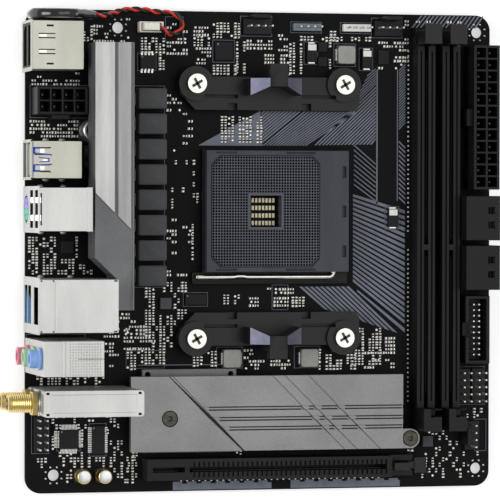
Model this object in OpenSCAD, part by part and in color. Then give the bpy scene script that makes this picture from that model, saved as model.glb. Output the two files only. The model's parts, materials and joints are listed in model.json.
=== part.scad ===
/* [Board] */
// Side of the square circuit board
board_w = 170; // [168:0.5:175]
// Thickness of the circuit board
board_t = 1.6; // [1:0.1:2.4]
// Radius of the board's outer corners
board_corner_r = 5.5; // [2:0.5:8]
// Radius of the four mounting holes
mount_hole_r = 1.98; // [1.5:0.01:2.2]
// Distance of the rear mounting hole from the rear edge
datum_x = 10.16; // [9:0.01:12]
// Distance of the lower mounting holes from the lower edge
datum_y = 6.35; // [5:0.01:8]
// Distance of the front mounting holes from the rear edge
front_hole_x = 165.1; // [164:0.1:166]
// Distance of the upper rear hole from the rear edge
upper_hole_x = 33.02; // [32:0.01:34]
// Distance of the upper holes from the lower edge
upper_hole_y = 163.83; // [162:0.01:165]

/* [Processor socket] */
// Centre of the contact field, from the rear edge
socket_x = 85; // [84:0.1:86]
// Centre of the contact field, from the lower edge
socket_y = 99.2; // [98:0.1:100]
// Half the height of the socket along the board's Y
socket_half_y = 21.5; // [21:0.1:22]
// Reach of the socket from the contact centre to its cam end
socket_cam_reach = 30.4; // [30:0.1:31]
// Height of the fixed base
socket_base_h = 3.6; // [3:0.1:4]
// Height of the top of the sliding cover
socket_top_h = 7.4; // [7:0.1:8]
// Side of the square window in the cover
socket_window = 11.2; // [9:0.1:12]
// Radius of the lever's wire
lever_r = 0.95; // [0.7:0.05:1.1]
// Height of the lever's pivot above the board
lever_z = 3; // [2.8:0.1:3.2]
// Length of the lever's arm
lever_arm = 50.6; // [40:0.1:55]

/* [Cooler mounting] */
// Screw spacing along the board's X
cooler_dx = 54; // [50:0.1:58]
// Screw spacing along the board's Y
cooler_dy = 90; // [86:0.1:94]
// Height of a bracket's bar
bracket_h = 5; // [3:0.1:6]
// Height of a bracket's screw boss
boss_h = 6.4; // [5.5:0.1:8]
// Height of a bracket's clip hook
hook_h = 18.8; // [15:0.1:20]
// Thickness of the steel plate under the board
backplate_t = 2.2; // [1.5:0.1:3]
// Thickness of the film between the board and the steel plate
film_t = 0.4; // [0.2:0.1:0.8]

/* [Power stage] */
// Width of the heatsink
sink_w = 13.8; // [12:0.1:14]
// Height of the heatsink's top above the board
sink_top = 24; // [18:0.5:30]
// Lower end of the heatsink
sink_y0 = 64.9; // [64:0.1:68]
// Upper end of the heatsink
sink_y1 = 157.6; // [150:0.1:160]
// Number of power inductors
choke_count = 8; // [4:1:8]
// Spacing of the power inductors
choke_pitch = 8.91; // [8:0.01:9]

/* [Slots] */
// Length of the graphics card slot
pcie_len = 89; // [85:0.1:92]
// Height of the graphics card slot
pcie_h = 11.25; // [9:0.05:12]
// Spacing of the two memory slots
dimm_pitch = 9.3; // [9:0.1:12]
// Length of a memory slot between its towers
dimm_len = 129; // [120:0.5:130]
// Height of the guide towers of a memory slot
dimm_tower_h = 17.5; // [14:0.5:20]

/* [Rear connectors] */
// Height of the video connector stack
video_h = 18; // [12:0.5:20]
// Height of the two-port USB stack
usb_h = 15.6; // [14:0.1:17]
// Height of the keyboard and mouse stack
ps2_h = 30; // [26:0.5:32]
// Height of the network connector stack
lan_h = 30; // [26:0.5:32]
// Height of the audio jack stack
audio_h = 37; // [34:0.5:38]
// Height of the shielded wireless housing
wifi_h = 33; // [28:0.5:36]
// Thickness of the sheet metal shells
sheet_t = 0.4; // [0.3:0.05:0.5]

/* [Power sockets] */
// Pitch of the cells in the power sockets
cell_pitch = 4.2; // [4:0.1:4.4]
// Height of the power sockets
power_h = 12.8; // [11:0.1:14]

/* [Clock battery] */
// Diameter of the coin cell
cell_d = 20; // [18:0.5:20]
// Thickness of the coin cell
cell_t = 3.2; // [2:0.1:3.2]
// Diameter over the twisted pair of the battery lead
lead_d = 2; // [1.2:0.1:2.4]

/* [Hidden] */
$fn = 48;

cooler_cx = 86.9;
cooler_cy = socket_y;
socket_x0 = socket_x - 21.5;
socket_x1 = socket_x + socket_cam_reach;
socket_y0 = socket_y - socket_half_y;
socket_y1 = socket_y + socket_half_y;
lever_x = socket_x + 25.8;
lever_y = socket_y0 - 1.8;
slide_gap = 0.2;
field_depth = 0.9;
sink_x0 = 20.4;
sink_x1 = sink_x0 + sink_w;
mosfet_x0 = 29;
choke_y0 = 76.45;
pcie_x0 = 41.5;
pcie_y = 8.4;
dimm_x = 143.8;
dimm_y0 = 29.4;
dimm_y1 = dimm_y0 + dimm_len;
m2_x0 = 36;
m2_x1 = 135.2;
m2_y0 = 14.6;
m2_y1 = 41.1;
m2_bottom = 6.4;
m2_top = 9;
main_power_x = 165;
main_power_y0 = 107.1;
cpu_power_x0 = 2;
cpu_power_y = 137.6;
battery_y = 167.6;
battery_x = 9.3;
lead_points = [
  [23, 167.6, 9], [26, 167.6, 8.6], [29.4, 168.2, 5.8], [33, 169.6, 2.8], [37.4, 170.3, 1.6],
  [42, 170.2, 1.4], [46.6, 169.6, 1.4], [51.2, 169.2, 1.4], [54.2, 168.1, 1.4], [55.7, 165.4, 1.5],
  [54.6, 162.8, 2], [51.9, 161.6, 3.3], [49.4, 162.2, 4.9], [47.5, 163.4, 5.8], [46, 164.6, 6]
];

// A block between two corners, measured from the board's rear lower corner and its top face
module block(x, y, z) {
  translate([x[0] - datum_x, y[0] - datum_y, board_t + z[0]])
    cube([x[1] - x[0], y[1] - y[0], z[1] - z[0]]);
}

// Places its children at a point measured from the same corner
module at(x, y, z = 0) {
  translate([x - datum_x, y - datum_y, board_t + z]) children();
}

// A round rod along Z from one height to another
module post(x, y, z, r) {
  at(x, y, z[0]) cylinder(r = r, h = z[1] - z[0]);
}

// A flat plate with an outline given in board coordinates
module plate(points, z) {
  at(0, 0, z[0]) linear_extrude(z[1] - z[0]) polygon(points);
}

// A sheet metal box that is open towards the rear edge
module open_shell(x, y, h, floor_z = 0.6) {
  difference() {
    block(x, y, [0, h]);
    block([x[0] - 1, x[1] - sheet_t], [y[0] + sheet_t, y[1] - sheet_t], [floor_z, h - sheet_t]);
  }
}

module mounting_holes(z, r) {
  post(datum_x, datum_y, z, r);
  post(front_hole_x, datum_y, z, r);
  post(upper_hole_x, upper_hole_y, z, r);
  post(front_hole_x, upper_hole_y, z, r);
}

// Copies its children to the four screws of the cooler mounting
module cooler_corners() {
  for (sx = [-1, 1], sy = [-1, 1])
    at(cooler_cx + sx * cooler_dx / 2, cooler_cy + sy * cooler_dy / 2) children();
}

module pcb() {
  r = board_corner_r;
  color("#1b1c1e") difference() {
    translate([-datum_x, -datum_y, 0]) linear_extrude(board_t) union() {
      translate([r, 0]) square([board_w - 2 * r, board_w]);
      translate([0, r]) square([board_w, board_w - 2 * r]);
      for (cx = [r, board_w - r], cy = [r, board_w - r]) translate([cx, cy]) circle(r);
    }
    mounting_holes([-board_t - 1, 1], mount_hole_r);
    cooler_corners() translate([0, 0, -board_t - 1]) cylinder(r = 3.2, h = board_t + 2);
    for (y = [71, 150]) post(mosfet_x0 + 2.6, y, [-board_t - 1, 1], 1.7);
  }
}

// Soldered ends of the through-hole pins, under the board
module solder_tails() {
  tail = [-board_t - 1.3, -board_t];
  color("#c9c9c6") {
    for (i = [0:11], s = [-1, 1])
      post(main_power_x + s * 2.75, main_power_y0 + 2.5 + i * cell_pitch, tail, 0.9);
    for (i = [0:3], s = [-1, 1])
      post(cpu_power_x0 + 2.3 + i * cell_pitch, cpu_power_y + s * 2.75, tail, 0.9);
    for (i = [0:choke_count - 1], x = [41.5, 47]) post(x, choke_y0 + i * choke_pitch, tail, 1.1);
    for (x = [7, 15], y = [59, 74]) post(x, y, tail, 1.3);
    for (x = [5, 14], y = [94, 106, 112, 122]) post(x, y, tail, 1);
    for (x = [3, 13], y = [150, 163.4]) post(x, y, tail, 1);
    for (x = [3, 10, 17], y = [45, 52.5]) post(x, y, tail, 0.8);
    for (i = [0:8], s = [-1, 1]) post(pcie_x0 + 4 + i * 10, pcie_y + s * 2, tail, 0.7);
    for (i = [0:13], b = [0, 1]) post(dimm_x + b * dimm_pitch, dimm_y0 + 4 + i * 9.2, tail, 0.7);
  }
}

module backplate() {
  top = -board_t - film_t;
  bottom = top - backplate_t;
  r = 5;
  w = cooler_dx + 14;
  l = cooler_dy + 14;
  color("#3a3c40") difference() {
    union() {
      at(cooler_cx - w / 2, cooler_cy - l / 2, bottom) linear_extrude(backplate_t) union() {
        translate([r, 0]) square([w - 2 * r, l]);
        translate([0, r]) square([w, l - 2 * r]);
        for (cx = [r, w - r], cy = [r, l - r]) translate([cx, cy]) circle(r);
      }
      cooler_corners() translate([0, 0, bottom]) cylinder(r = 3, h = -bottom);
    }
    cooler_corners() translate([0, 0, bottom - 1]) cylinder(r = 1.78, h = 1 - bottom + 1);
    for (x = [-16, 0, 16])
      at(cooler_cx + x - 4, cooler_cy - 18, bottom - 1) cube([8, 36, backplate_t + 2]);
  }
}

module backplate_film() {
  w = cooler_dx + 13;
  l = cooler_dy + 13;
  color("#111111") difference() {
    at(cooler_cx - w / 2, cooler_cy - l / 2, -board_t - film_t) cube([w, l, film_t]);
    cooler_corners() translate([0, 0, -board_t - film_t - 1]) cylinder(r = 3.3, h = film_t + 2);
    for (x = [-16, 0, 16])
      at(cooler_cx + x - 4, cooler_cy - 18, -board_t - film_t - 1) cube([8, 36, film_t + 2]);
  }
}

// Bracket on the side away from the slots. The lower bracket is its mirror image
module bracket() {
  screw_y = cooler_dy / 2;
  inner_y = screw_y - 9.2;
  outer_y = screw_y + 2.6;
  tab_half = 3.2;
  hump_half = 9.3;
  hump_h = 14.6;
  difference() {
    union() {
      linear_extrude(bracket_h) polygon([
        [-31.8, inner_y + 5], [-27, inner_y], [31.5, inner_y], [33, inner_y + 2],
        [33, outer_y], [-32.6, outer_y], [-32.6, inner_y + 6]
      ]);
      for (s = [-1, 1]) translate([s * cooler_dx / 2, screw_y, 0]) cylinder(r = 6.2, h = boss_h);
      intersection() {
        translate([0, outer_y, 0]) rotate([90, 0, 0]) linear_extrude(12) polygon([
          [-hump_half, 0], [-hump_half, hump_h], [-tab_half, hook_h], [tab_half, hook_h],
          [hump_half, hump_h], [hump_half, 0]
        ]);
        linear_extrude(hook_h + 1) polygon([
          [-hump_half, inner_y + 5], [-tab_half, inner_y + 8], [tab_half, inner_y + 8],
          [hump_half, inner_y + 5], [hump_half, outer_y - 0.8], [-hump_half, outer_y - 0.8]
        ]);
      }
      translate([-tab_half, inner_y + 8, 0]) cube([2 * tab_half, 5, hook_h]);
      translate([-tab_half, inner_y + 8, hook_h - 4]) cube([2 * tab_half, 8, 4]);
    }
    for (s = [-1, 1]) translate([s * cooler_dx / 2, screw_y, -1]) cylinder(r = 1.9, h = boss_h + 2);
    for (x = [-15.2, 11.8]) translate([x, inner_y - 1, 2]) cube([3.4, 3.4, bracket_h]);
    for (x = [-24, 11.6]) translate([x, inner_y + 4.2, 2.2]) cube([12.4, 1.2, bracket_h]);
    for (s = [-1, 1]) translate([s * 6.2 - 1.6, inner_y + 7.8, -1]) cube([3.2, 2.4, 11]);
  }
}

module bracket_upper() {
  color("#17181a") at(cooler_cx, cooler_cy) bracket();
}

module bracket_lower() {
  color("#17181a") at(cooler_cx, cooler_cy) mirror([0, 1, 0]) bracket();
}

module bracket_screws() {
  color("#d9d9d6") cooler_corners() difference() {
    union() {
      translate([0, 0, boss_h]) cylinder(r = 3.4, h = 1.9);
      translate([0, 0, -0.6]) cylinder(r = 1.7, h = boss_h + 0.6);
    }
    for (a = [30, 120]) rotate([0, 0, a]) translate([-2.1, -0.5, boss_h + 0.9]) cube([4.2, 1, 2]);
  }
}

module socket_base() {
  hump_x = [lever_x - 3.4, lever_x + 3];
  color("#202124") difference() {
    union() {
      block([socket_x0 - 0.7, socket_x1 + 0.8], [socket_y0 - 0.2, socket_y1 + 0.3], [0, socket_base_h]);
      block(hump_x, [socket_y0 + 0.6, socket_y1 - 0.6], [0, lever_z + 1.7]);
      block([lever_x - lever_arm - 0.8, socket_x1 + 0.8], [lever_y - 2.4, socket_y0 - 0.2],
        [0, lever_z - lever_r - 0.2]);
      block([lever_x - lever_arm - 0.8, socket_x1 - 2], [lever_y - 2.4, lever_y - 1.8], [0, lever_z]);
    }
    at(lever_x, socket_y0 - 1, lever_z) rotate([-90, 0, 0]) cylinder(r = lever_r + 0.15, h = 37);
    at(socket_x - socket_window / 2, socket_y - socket_window / 2, -1)
      cube([socket_window, socket_window, 9]);
  }
}

// Cover that slides towards the cam end when the lever is lifted
module socket_cover() {
  z0 = socket_base_h + slide_gap;
  w = socket_window;
  fx = [socket_x - 19.8, socket_x + 19.8];
  fy = [socket_y - 19.8, socket_y + 19.8];
  color("#45464f") difference() {
    block([socket_x0, socket_x1], [socket_y0, socket_y1], [z0, socket_top_h]);
    at(socket_x - w / 2, socket_y - w / 2, 0) cube([w, w, 9]);
    block([lever_x - 4.8, lever_x + 3.3], [socket_y0 + 0.3, socket_y1 - 0.3], [0, lever_z + 1.9]);
    block([lever_x - 2.1, lever_x + 1.7], [socket_y0 - 1, socket_y0 + 1], [0, lever_z + lever_r + 0.2]);
    for (y = [83, 97.2, 111.2]) block([113, 114.5], [y, y + 4], [6, 9]);
    for (x = [[67, 74.4], [92.5, 103]], y = [socket_y0 + 0.5, socket_y1 - 1.1])
      block(x, [y, y + 0.6], [6.4, 9]);
    plate([
      [fx[0] + 3, fy[0]], [fx[1] - 3, fy[0]], [fx[1], fy[0] + 3], [fx[1], fy[1] - 3],
      [fx[1] - 3, fy[1]], [fx[0] + 3, fy[1]], [fx[0], fy[1] - 3], [fx[0], fy[0] + 3]
    ], [socket_top_h - field_depth, 9]);
  }
}

module socket_lever() {
  shaft = 34;
  color("#d8d6ce") {
    at(lever_x, lever_y, lever_z) rotate([-90, 0, 0]) cylinder(r = lever_r, h = shaft);
    at(lever_x, lever_y, lever_z) sphere(lever_r);
    at(lever_x, lever_y, lever_z) rotate([0, -90, 0]) cylinder(r = lever_r, h = lever_arm);
  }
}

// Ceramic capacitors on the board inside the socket's window
module socket_capacitors() {
  color("#d8cf9e") for (row = [0:3], i = [0:7])
    block([socket_x - 4.9 + i * 1.26, socket_x - 4.05 + i * 1.26],
      [socket_y - 5 + row * 2.7, socket_y - 3.4 + row * 2.7], [0, 0.8]);
}

module vrm_heatsink() {
  foot_z = 3;
  arm_z = 10.5;
  color("#56575b") difference() {
    intersection() {
      at(0, sink_y1) rotate([90, 0, 0]) linear_extrude(sink_y1 - sink_y0) polygon([
        [sink_x0, arm_z], [mosfet_x0, arm_z], [mosfet_x0, foot_z], [sink_x1, foot_z],
        [sink_x1, sink_top - 0.6], [sink_x0, sink_top - 0.6]
      ]);
      plate([
        [sink_x0, 83], [sink_x0, sink_y1], [sink_x1, sink_y1], [sink_x1, sink_y0],
        [sink_x0 + 8.2, sink_y0], [sink_x0 + 8.2, 75.2]
      ], [0, sink_top]);
    }
    for (z = [13, 16, 19]) block([sink_x0 - 1, sink_x0 + 2.4], [sink_y0 - 1, sink_y1 + 1], [z, z + 1]);
    for (y = [71, 150]) post(mosfet_x0 + 2.6, y, [0, 9], 1.5);
  }
}

// Two bright strips on the top of the heatsink, cut off on a diagonal
module heatsink_trim() {
  z = [sink_top - 0.6, sink_top];
  color("#c6c6c4") {
    plate([[20.4, 105.4], [20.4, sink_y1], [27.2, sink_y1], [27.2, 98.6]], z);
    plate([[28.4, 97.4], [28.4, sink_y1], [33, sink_y1], [33, 92.8]], z);
  }
}

module heatsink_screws() {
  color("#a8a8a6") for (y = [71, 150]) {
    post(mosfet_x0 + 2.6, y, [-board_t - 1.6, -board_t], 2.6);
    post(mosfet_x0 + 2.6, y, [-board_t, 8], 1.45);
  }
}

// Soft pads under the heatsink and under the storage cover
module thermal_pads() {
  color("#8f9aa6") {
    block([mosfet_x0, sink_x1 - 0.2], [74, 143.4], [1, 3]);
    block([76, 126], [17, 38.6], [m2_bottom - 0.7, m2_bottom]);
  }
}

module mosfets() {
  color("#18191b") for (i = [0:choke_count - 1])
    at(mosfet_x0, choke_y0 + i * choke_pitch - 3) cube([5, 6, 1]);
}

module chokes() {
  color("#3b3c3e") for (i = [0:choke_count - 1]) {
    y = choke_y0 + i * choke_pitch;
    block([39.1, 49.3], [y - 3.6, y + 3.6], [0.3, 7]);
    block([40, 42], [y - 3.2, y + 3.2], [0, 0.3]);
    block([46.4, 48.4], [y - 3.2, y + 3.2], [0, 0.3]);
  }
}

module bulk_capacitors() {
  color("#b9bcc4") {
    for (p = [[23, 127.4], [24.8, 118.4]]) post(p[0], p[1], [0, 8.6], 4);
    for (x = [19.9, 27.4]) post(x, 6.1, [0, 7], 2.5);
  }
}

// Screw places of the storage cover
cover_screws = [[50, 26.2], [138, 18.1]];

module m2_cover() {
  step_x = 50;
  color("#9a9a9a") difference() {
    union() {
      block([m2_x0, m2_x1], [m2_y0, m2_y1], [m2_bottom, m2_top]);
      block([m2_x1, 138], [m2_y0, m2_y0 + 7], [m2_bottom, m2_top - 0.5]);
      post(138, m2_y0 + 3.5, [m2_bottom, m2_top - 0.5], 3.5);
    }
    for (p = cover_screws) {
      post(p[0], p[1], [m2_bottom - 1, m2_top + 1], 1.7);
      post(p[0], p[1], [m2_top - 1.6, m2_top + 1], 2.9);
    }
    plate([
      [step_x - 1.4, m2_y1 + 1], [step_x + 0.2, m2_y1 + 1], [step_x + 28, m2_y0 - 1],
      [step_x + 26.4, m2_y0 - 1]
    ], [m2_top - 0.5, m2_top + 1]);
    for (y = [28.9, 25.2, 21.8]) intersection() {
      block([step_x, m2_x1 + 1], [y, y + 1.4], [m2_top - 0.4, m2_top + 1]);
      plate([[step_x + 1, m2_y1], [m2_x1 + 2, m2_y1], [m2_x1 + 2, m2_y0], [step_x + 27.5, m2_y0]],
        [0, m2_top + 2]);
    }
    for (x = [86.8, 91.4, 100]) plate([
      [x - 1, m2_y1 + 1], [x - 0.6, m2_y1 + 1], [x + 27.9, m2_y0 - 1], [x + 27.5, m2_y0 - 1]
    ], [m2_top - 0.3, m2_top + 1]);
  }
}

module m2_cover_screws() {
  color("#4a4a48") for (p = cover_screws) difference() {
    union() {
      post(p[0], p[1], [m2_top - 1.6, m2_top - 0.1], 2.7);
      post(p[0], p[1], [m2_bottom - 3, m2_top - 1.6], 1.45);
    }
    at(p[0], p[1], m2_top - 0.9) cylinder(r = 0.9, h = 2, $fn = 6);
  }
}

module m2_standoffs() {
  color("#c9b26a") for (p = cover_screws) difference() {
    post(p[0], p[1], [0, m2_bottom], 2.4);
    post(p[0], p[1], [1, m2_bottom + 1], 1.5);
  }
}

module m2_socket() {
  color("#1c1c1e") difference() {
    block([128.4, 134.4], [17, 39], [0, 4.2]);
    block([127, 132], [17.9, 38.1], [2, 3.2]);
  }
}

module chipset() {
  color("#22392c") block([53.5, 74.5], [17, 40], [0, 1.2]);
  color("#3c3e44") block([58, 70], [23, 34], [1.2, 1.7]);
}

module chipset_heatsink() {
  color("#6b6b6d") difference() {
    block([41, 75], [14, 43.4], [1.7, 4.2]);
    for (x = [43, 73]) post(x, 41.6, [1, 5], 1);
    post(50, 26.2, [1, 5], 2.8);
    block([40, 53], [20, 33], [0, 5]);
  }
}

latch_x = pcie_x0 + pcie_len + 5;
latch_z = 3.2;

module card_latch_pin(r, half) {
  at(latch_x, pcie_y + half, latch_z) rotate([90, 0, 0]) cylinder(r = r, h = 2 * half);
}

module pcie_slot() {
  wall = 1.9;
  key_x = pcie_x0 + 13.4;
  color("#141517") difference() {
    union() {
      block([pcie_x0, pcie_x0 + pcie_len], [pcie_y - 3.75, pcie_y + 3.75], [0, pcie_h]);
      for (s = [-1, 1]) block([pcie_x0 + pcie_len, pcie_x0 + pcie_len + 9],
        [pcie_y + s * 2.7 - 1, pcie_y + s * 2.7 + 1], [0, 6]);
    }
    block([pcie_x0 + wall, key_x], [pcie_y - 0.9, pcie_y + 0.9], [2.5, 20]);
    block([key_x + 1.7, pcie_x0 + pcie_len - wall], [pcie_y - 0.9, pcie_y + 0.9], [2.5, 20]);
    for (i = [0:40]) {
      x = key_x + 3 + i * 1.75;
      block([x, x + 0.7], [pcie_y - 2.6, pcie_y + 2.6], [pcie_h - 1, 20]);
    }
    card_latch_pin(pivot_r + pivot_gap, 2.3);
  }
}

// Card latch that tips down at its thumb end
module pcie_latch() {
  color("#1d1e20") {
    difference() {
      union() {
        block([latch_x - 4.3, latch_x + 1.5], [pcie_y - 1.3, pcie_y + 1.3], [1, 12.4]);
        block([latch_x + 1.5, latch_x + 7.5], [pcie_y - 1.3, pcie_y + 1.3], [4, 6.6]);
        block([latch_x + 4.5, latch_x + 9], [pcie_y - 2.8, pcie_y + 2.8], [5.4, 6.8]);
        card_latch_pin(pivot_r, 2.15);
      }
      block([latch_x - 5, latch_x - 2.6], [pcie_y - 2, pcie_y + 2], [7, 10.6]);
    }
  }
}

// Gold contacts of the graphics card slot and of the memory slots
module slot_contacts() {
  color("#c9a44a") {
    for (s = [-1, 1]) {
      block([pcie_x0 + 3, pcie_x0 + 12], [pcie_y + s * 0.7 - 0.12, pcie_y + s * 0.7 + 0.12], [2.5, 7]);
      block([pcie_x0 + 17, pcie_x0 + 86], [pcie_y + s * 0.7 - 0.12, pcie_y + s * 0.7 + 0.12], [2.5, 7]);
    }
    for (b = [0, 1], s = [-1, 1]) {
      x = dimm_x + b * dimm_pitch + s * 0.62;
      block([x - 0.1, x + 0.1], [dimm_y0 + 5, dimm_y0 + 54], [2, 6]);
      block([x - 0.1, x + 0.1], [dimm_y0 + 60, dimm_y1 - 5], [2, 6]);
    }
  }
}

pivot_r = 0.8;
pivot_gap = 0.15;
latch_pivot_z = 3.4;
latch_pivot_y = dimm_y1 + 3.2;

// A pin through a latch's foot, from the middle outwards along X
module latch_pin(x, r, half) {
  at(x - half, latch_pivot_y, latch_pivot_z) rotate([0, 90, 0]) cylinder(r = r, h = 2 * half);
}

// Memory slot with a fixed tower at its lower end and a latch at its upper end
module dimm_slot(x) {
  half = 3.3;
  color("#18191b") difference() {
    union() {
      block([x - half, x + half], [dimm_y0 - 0.4, dimm_y1], [0, 8.4]);
      block([x - half, x + half], [dimm_y0 - 8.4, dimm_y0 - 0.4], [0, dimm_tower_h]);
      for (s = [-1, 1]) block([x + s * 2.8 - 0.5, x + s * 2.8 + 0.5], [dimm_y1, dimm_y1 + 6.4], [0, 5.6]);
      block([x - 2.3, x + 2.3], [dimm_y1, dimm_y1 + 6.4], [0, 1]);
    }
    block([x - 0.75, x + 0.75], [dimm_y0 - 3.4, dimm_y0 + 56], [2, 30]);
    block([x - 0.75, x + 0.75], [dimm_y0 + 58, dimm_y1 + 1], [2, 30]);
    block([x - 0.4, x + 3.4], [dimm_y0 - 3.2, dimm_y0 - 0.8], [9, 30]);
    for (s = [-1, 1]) block([x + s * 2 - 0.35, x + s * 2 + 0.35], [dimm_y0 + 2, dimm_y1 - 2], [7.4, 20]);
    latch_pin(x, pivot_r + pivot_gap, 2.9);
  }
}

module dimm_slot_a() {
  dimm_slot(dimm_x);
}

module dimm_slot_b() {
  dimm_slot(dimm_x + dimm_pitch);
}

// Lever that tips outwards and lifts the memory module's end
module dimm_latch(x) {
  color("#1f2023") difference() {
    union() {
      block([x - 2.1, x + 2.1], [dimm_y1 + 0.9, dimm_y1 + 5.6], [2.1, 9]);
      latch_pin(x, pivot_r, 2.75);
      block([x - 3.1, x + 3.1], [dimm_y1 + 0.3, dimm_y1 + 5.2], [7.4, dimm_tower_h - 2]);
      block([x - 3.1, x + 3.1], [dimm_y1 + 0.3, dimm_y1 + 7.4], [dimm_tower_h - 2, dimm_tower_h]);
    }
    block([x - 0.75, x + 0.75], [dimm_y1 - 1, dimm_y1 + 2.4], [4, dimm_tower_h - 3.6]);
  }
}

module dimm_latch_a() {
  dimm_latch(dimm_x);
}

module dimm_latch_b() {
  dimm_latch(dimm_x + dimm_pitch);
}

// A power socket's block of square cells, with the latch ramp on its left side
module cell_block(columns, rows) {
  cell = 3.5;
  w = rows * 4.8;
  l = columns * cell_pitch + 1.2;
  difference() {
    union() {
      cube([w, l, power_h]);
      translate([-1.6, l / 2 - 3, 0]) cube([1.6, 6, power_h - 3]);
    }
    for (i = [0:columns - 1], j = [0:rows - 1])
      translate([(w - rows * cell_pitch) / 2 + j * cell_pitch + 0.35, 0.95 + i * cell_pitch, 2.4])
        cube([cell, cell, power_h]);
  }
}

module main_power_socket() {
  color("#141414") at(main_power_x - 4.8, main_power_y0) cell_block(12, 2);
}

module cpu_power_socket() {
  color("#141414") at(cpu_power_x0 + 18, cpu_power_y - 4.8) rotate([0, 0, 90]) cell_block(4, 2);
}

module power_pins() {
  pin = 0.5;
  color("#b59a5a") {
    for (i = [0:11], s = [-1, 1])
      at(main_power_x + s * cell_pitch / 2 - pin, main_power_y0 + 2.2 + i * cell_pitch, 2.4)
        cube([2 * pin, 2 * pin, 7]);
    for (i = [0:3], s = [-1, 1])
      at(cpu_power_x0 + 2.3 + i * cell_pitch - pin, cpu_power_y + s * cell_pitch / 2 - pin, 2.4)
        cube([2 * pin, 2 * pin, 7]);
  }
}

// Two data sockets above each other, open towards the front edge
module sata_stack(y) {
  x = [156.8, 169.4];
  w = 15.9;
  color("#16171a") difference() {
    block(x, [y, y + w], [0, 15]);
    for (z = [1.6, 8.4]) difference() {
      block([158, x[1] + 1], [y + 1.2, y + w - 1.2], [z, z + 5.4]);
      block([158, x[1] - 1.2], [y + 3, y + w - 3.4], [z + 2, z + 3.2]);
    }
    for (dy = [4.4, 9.6]) block([165, 167.4], [y + dy, y + dy + 2.2], [-1, 16]);
  }
}

module sata_stack_a() {
  sata_stack(88.9);
}

module sata_stack_b() {
  sata_stack(71.2);
}

module usb3_header() {
  x = [158.4, 167.4];
  color("#17181a") difference() {
    block(x, [44.6, 69], [0, 9.2]);
    block([x[0] + 1.2, x[1] - 1.2], [45.8, 67.8], [1.8, 10]);
    block([x[0] - 1, x[0] + 2], [54.4, 59.4], [4.6, 10]);
  }
}

// Plastic strips of the open pin headers
module pin_headers() {
  color("#151515") {
    block([157.2, 162.2], [30, 42.6], [0, 2.5]);
    block([162.7, 167.7], [30, 42.6], [0, 2.5]);
    block([2.8, 7.9], [14.6, 27.2], [0, 2.5]);
  }
}

module header_pins() {
  pin = 0.32;
  color("#d6c48a") {
    for (x = [158.4, 160.94, 163.9, 166.44], i = [0:4])
      at(x - pin, 31 + i * 2.54 - pin, 2.5) cube([2 * pin, 2 * pin, 6]);
    for (x = [4.06, 6.6], i = [0:4]) at(x - pin, 15.8 + i * 2.54 - pin, 2.5) cube([2 * pin, 2 * pin, 6]);
    for (x = [161.9, 163.9], i = [0:9]) at(x - pin, 47.8 + i * 2 - pin, 1.8) cube([2 * pin, 2 * pin, 6]);
    for (x = [79.4, 127.6], i = [0:3])
      at(x + i * 2.54 - pin, 164.8 - pin, 2.4) cube([2 * pin, 2 * pin, 6.6]);
    for (i = [0:3]) at(162.6 - pin, 14.6 + i * 2.54 - pin, 2.4) cube([2 * pin, 2 * pin, 6.6]);
    for (x = [97.6, 116], i = [0:3])
      at(x + i * 2.54 - pin, 164.8 - pin, 2.5) cube([2 * pin, 2 * pin, 6]);
  }
}

// A four-pin fan header: a base with a locking wall along one side
module fan_header() {
  cube([10.4, 5.4, 2.4]);
  translate([2.2, 5.4, 0]) cube([6, 1.2, 10]);
}

module fan_headers() {
  color("#17181a") {
    for (x = [78, 126.2]) at(x, 162) fan_header();
    at(165.6, 13.2) rotate([0, 0, 90]) fan_header();
  }
}

module led_headers() {
  color("#6f7b85") block([96.3, 106.5], [163.5, 166.1], [0, 2.5]);
  color("#efefea") block([114.7, 124.9], [163.5, 166.1], [0, 2.5]);
}

module coin_cell() {
  color("#c4c4c2") at(battery_x, battery_y + cell_t / 2, cell_d / 2 + 0.6) rotate([90, 0, 0])
    cylinder(d = cell_d, h = cell_t);
}

// Shrink-wrapped sleeve round the coin cell, drawn in to the lead
module cell_sleeve() {
  wall = 0.5;
  r = cell_d / 2 + wall;
  tail_x = battery_x + r + 3.2;
  color("#0c0c0d") difference() {
    at(battery_x, battery_y + cell_t / 2 + wall, r + 0.1) rotate([90, 0, 0]) union() {
      cylinder(r = r, h = cell_t + 2 * wall);
      linear_extrude(cell_t + 2 * wall)
        polygon([[6, 8], [tail_x - battery_x, 1.4], [tail_x - battery_x, -3.2], [6, -8]]);
    }
    at(battery_x, battery_y + cell_t / 2, r + 0.1) rotate([90, 0, 0]) cylinder(d = cell_d, h = cell_t);
    block([battery_x, tail_x + 1], [battery_y - 0.7, battery_y + 0.7], [8.3, 9.7]);
  }
}

// Points along a smooth curve through the lead's own points
function curve_point(p, i, t) =
  let (a = p[max(i - 1, 0)], b = p[i], c = p[i + 1], d = p[min(i + 2, len(p) - 1)])
  0.5 * (2 * b + (c - a) * t + (2 * a - 5 * b + 4 * c - d) * t * t
    + (3 * b - a - 3 * c + d) * t * t * t);
function unit(v) = v / norm(v);
lead_steps = 2;
lead_sides = 8;
lead_path = [
  for (i = [0:len(lead_points) - 2], k = [0:lead_steps - 1])
    curve_point(lead_points, i, k / lead_steps),
  lead_points[len(lead_points) - 1]
];
lead_last = len(lead_path) - 1;
function lead_dir(i) = unit(lead_path[min(i + 1, lead_last)] - lead_path[max(i - 1, 0)]);
function lead_side(i) = unit(cross([0, 0, 1], lead_dir(i)));
function lead_ring(i) = [
  for (k = [0:lead_sides - 1])
    let (a = 360 * k / lead_sides, s = lead_side(i), u = cross(lead_dir(i), s))
    lead_path[i] + lead_d / 2 * (cos(a) * s + sin(a) * u)
];

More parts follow.
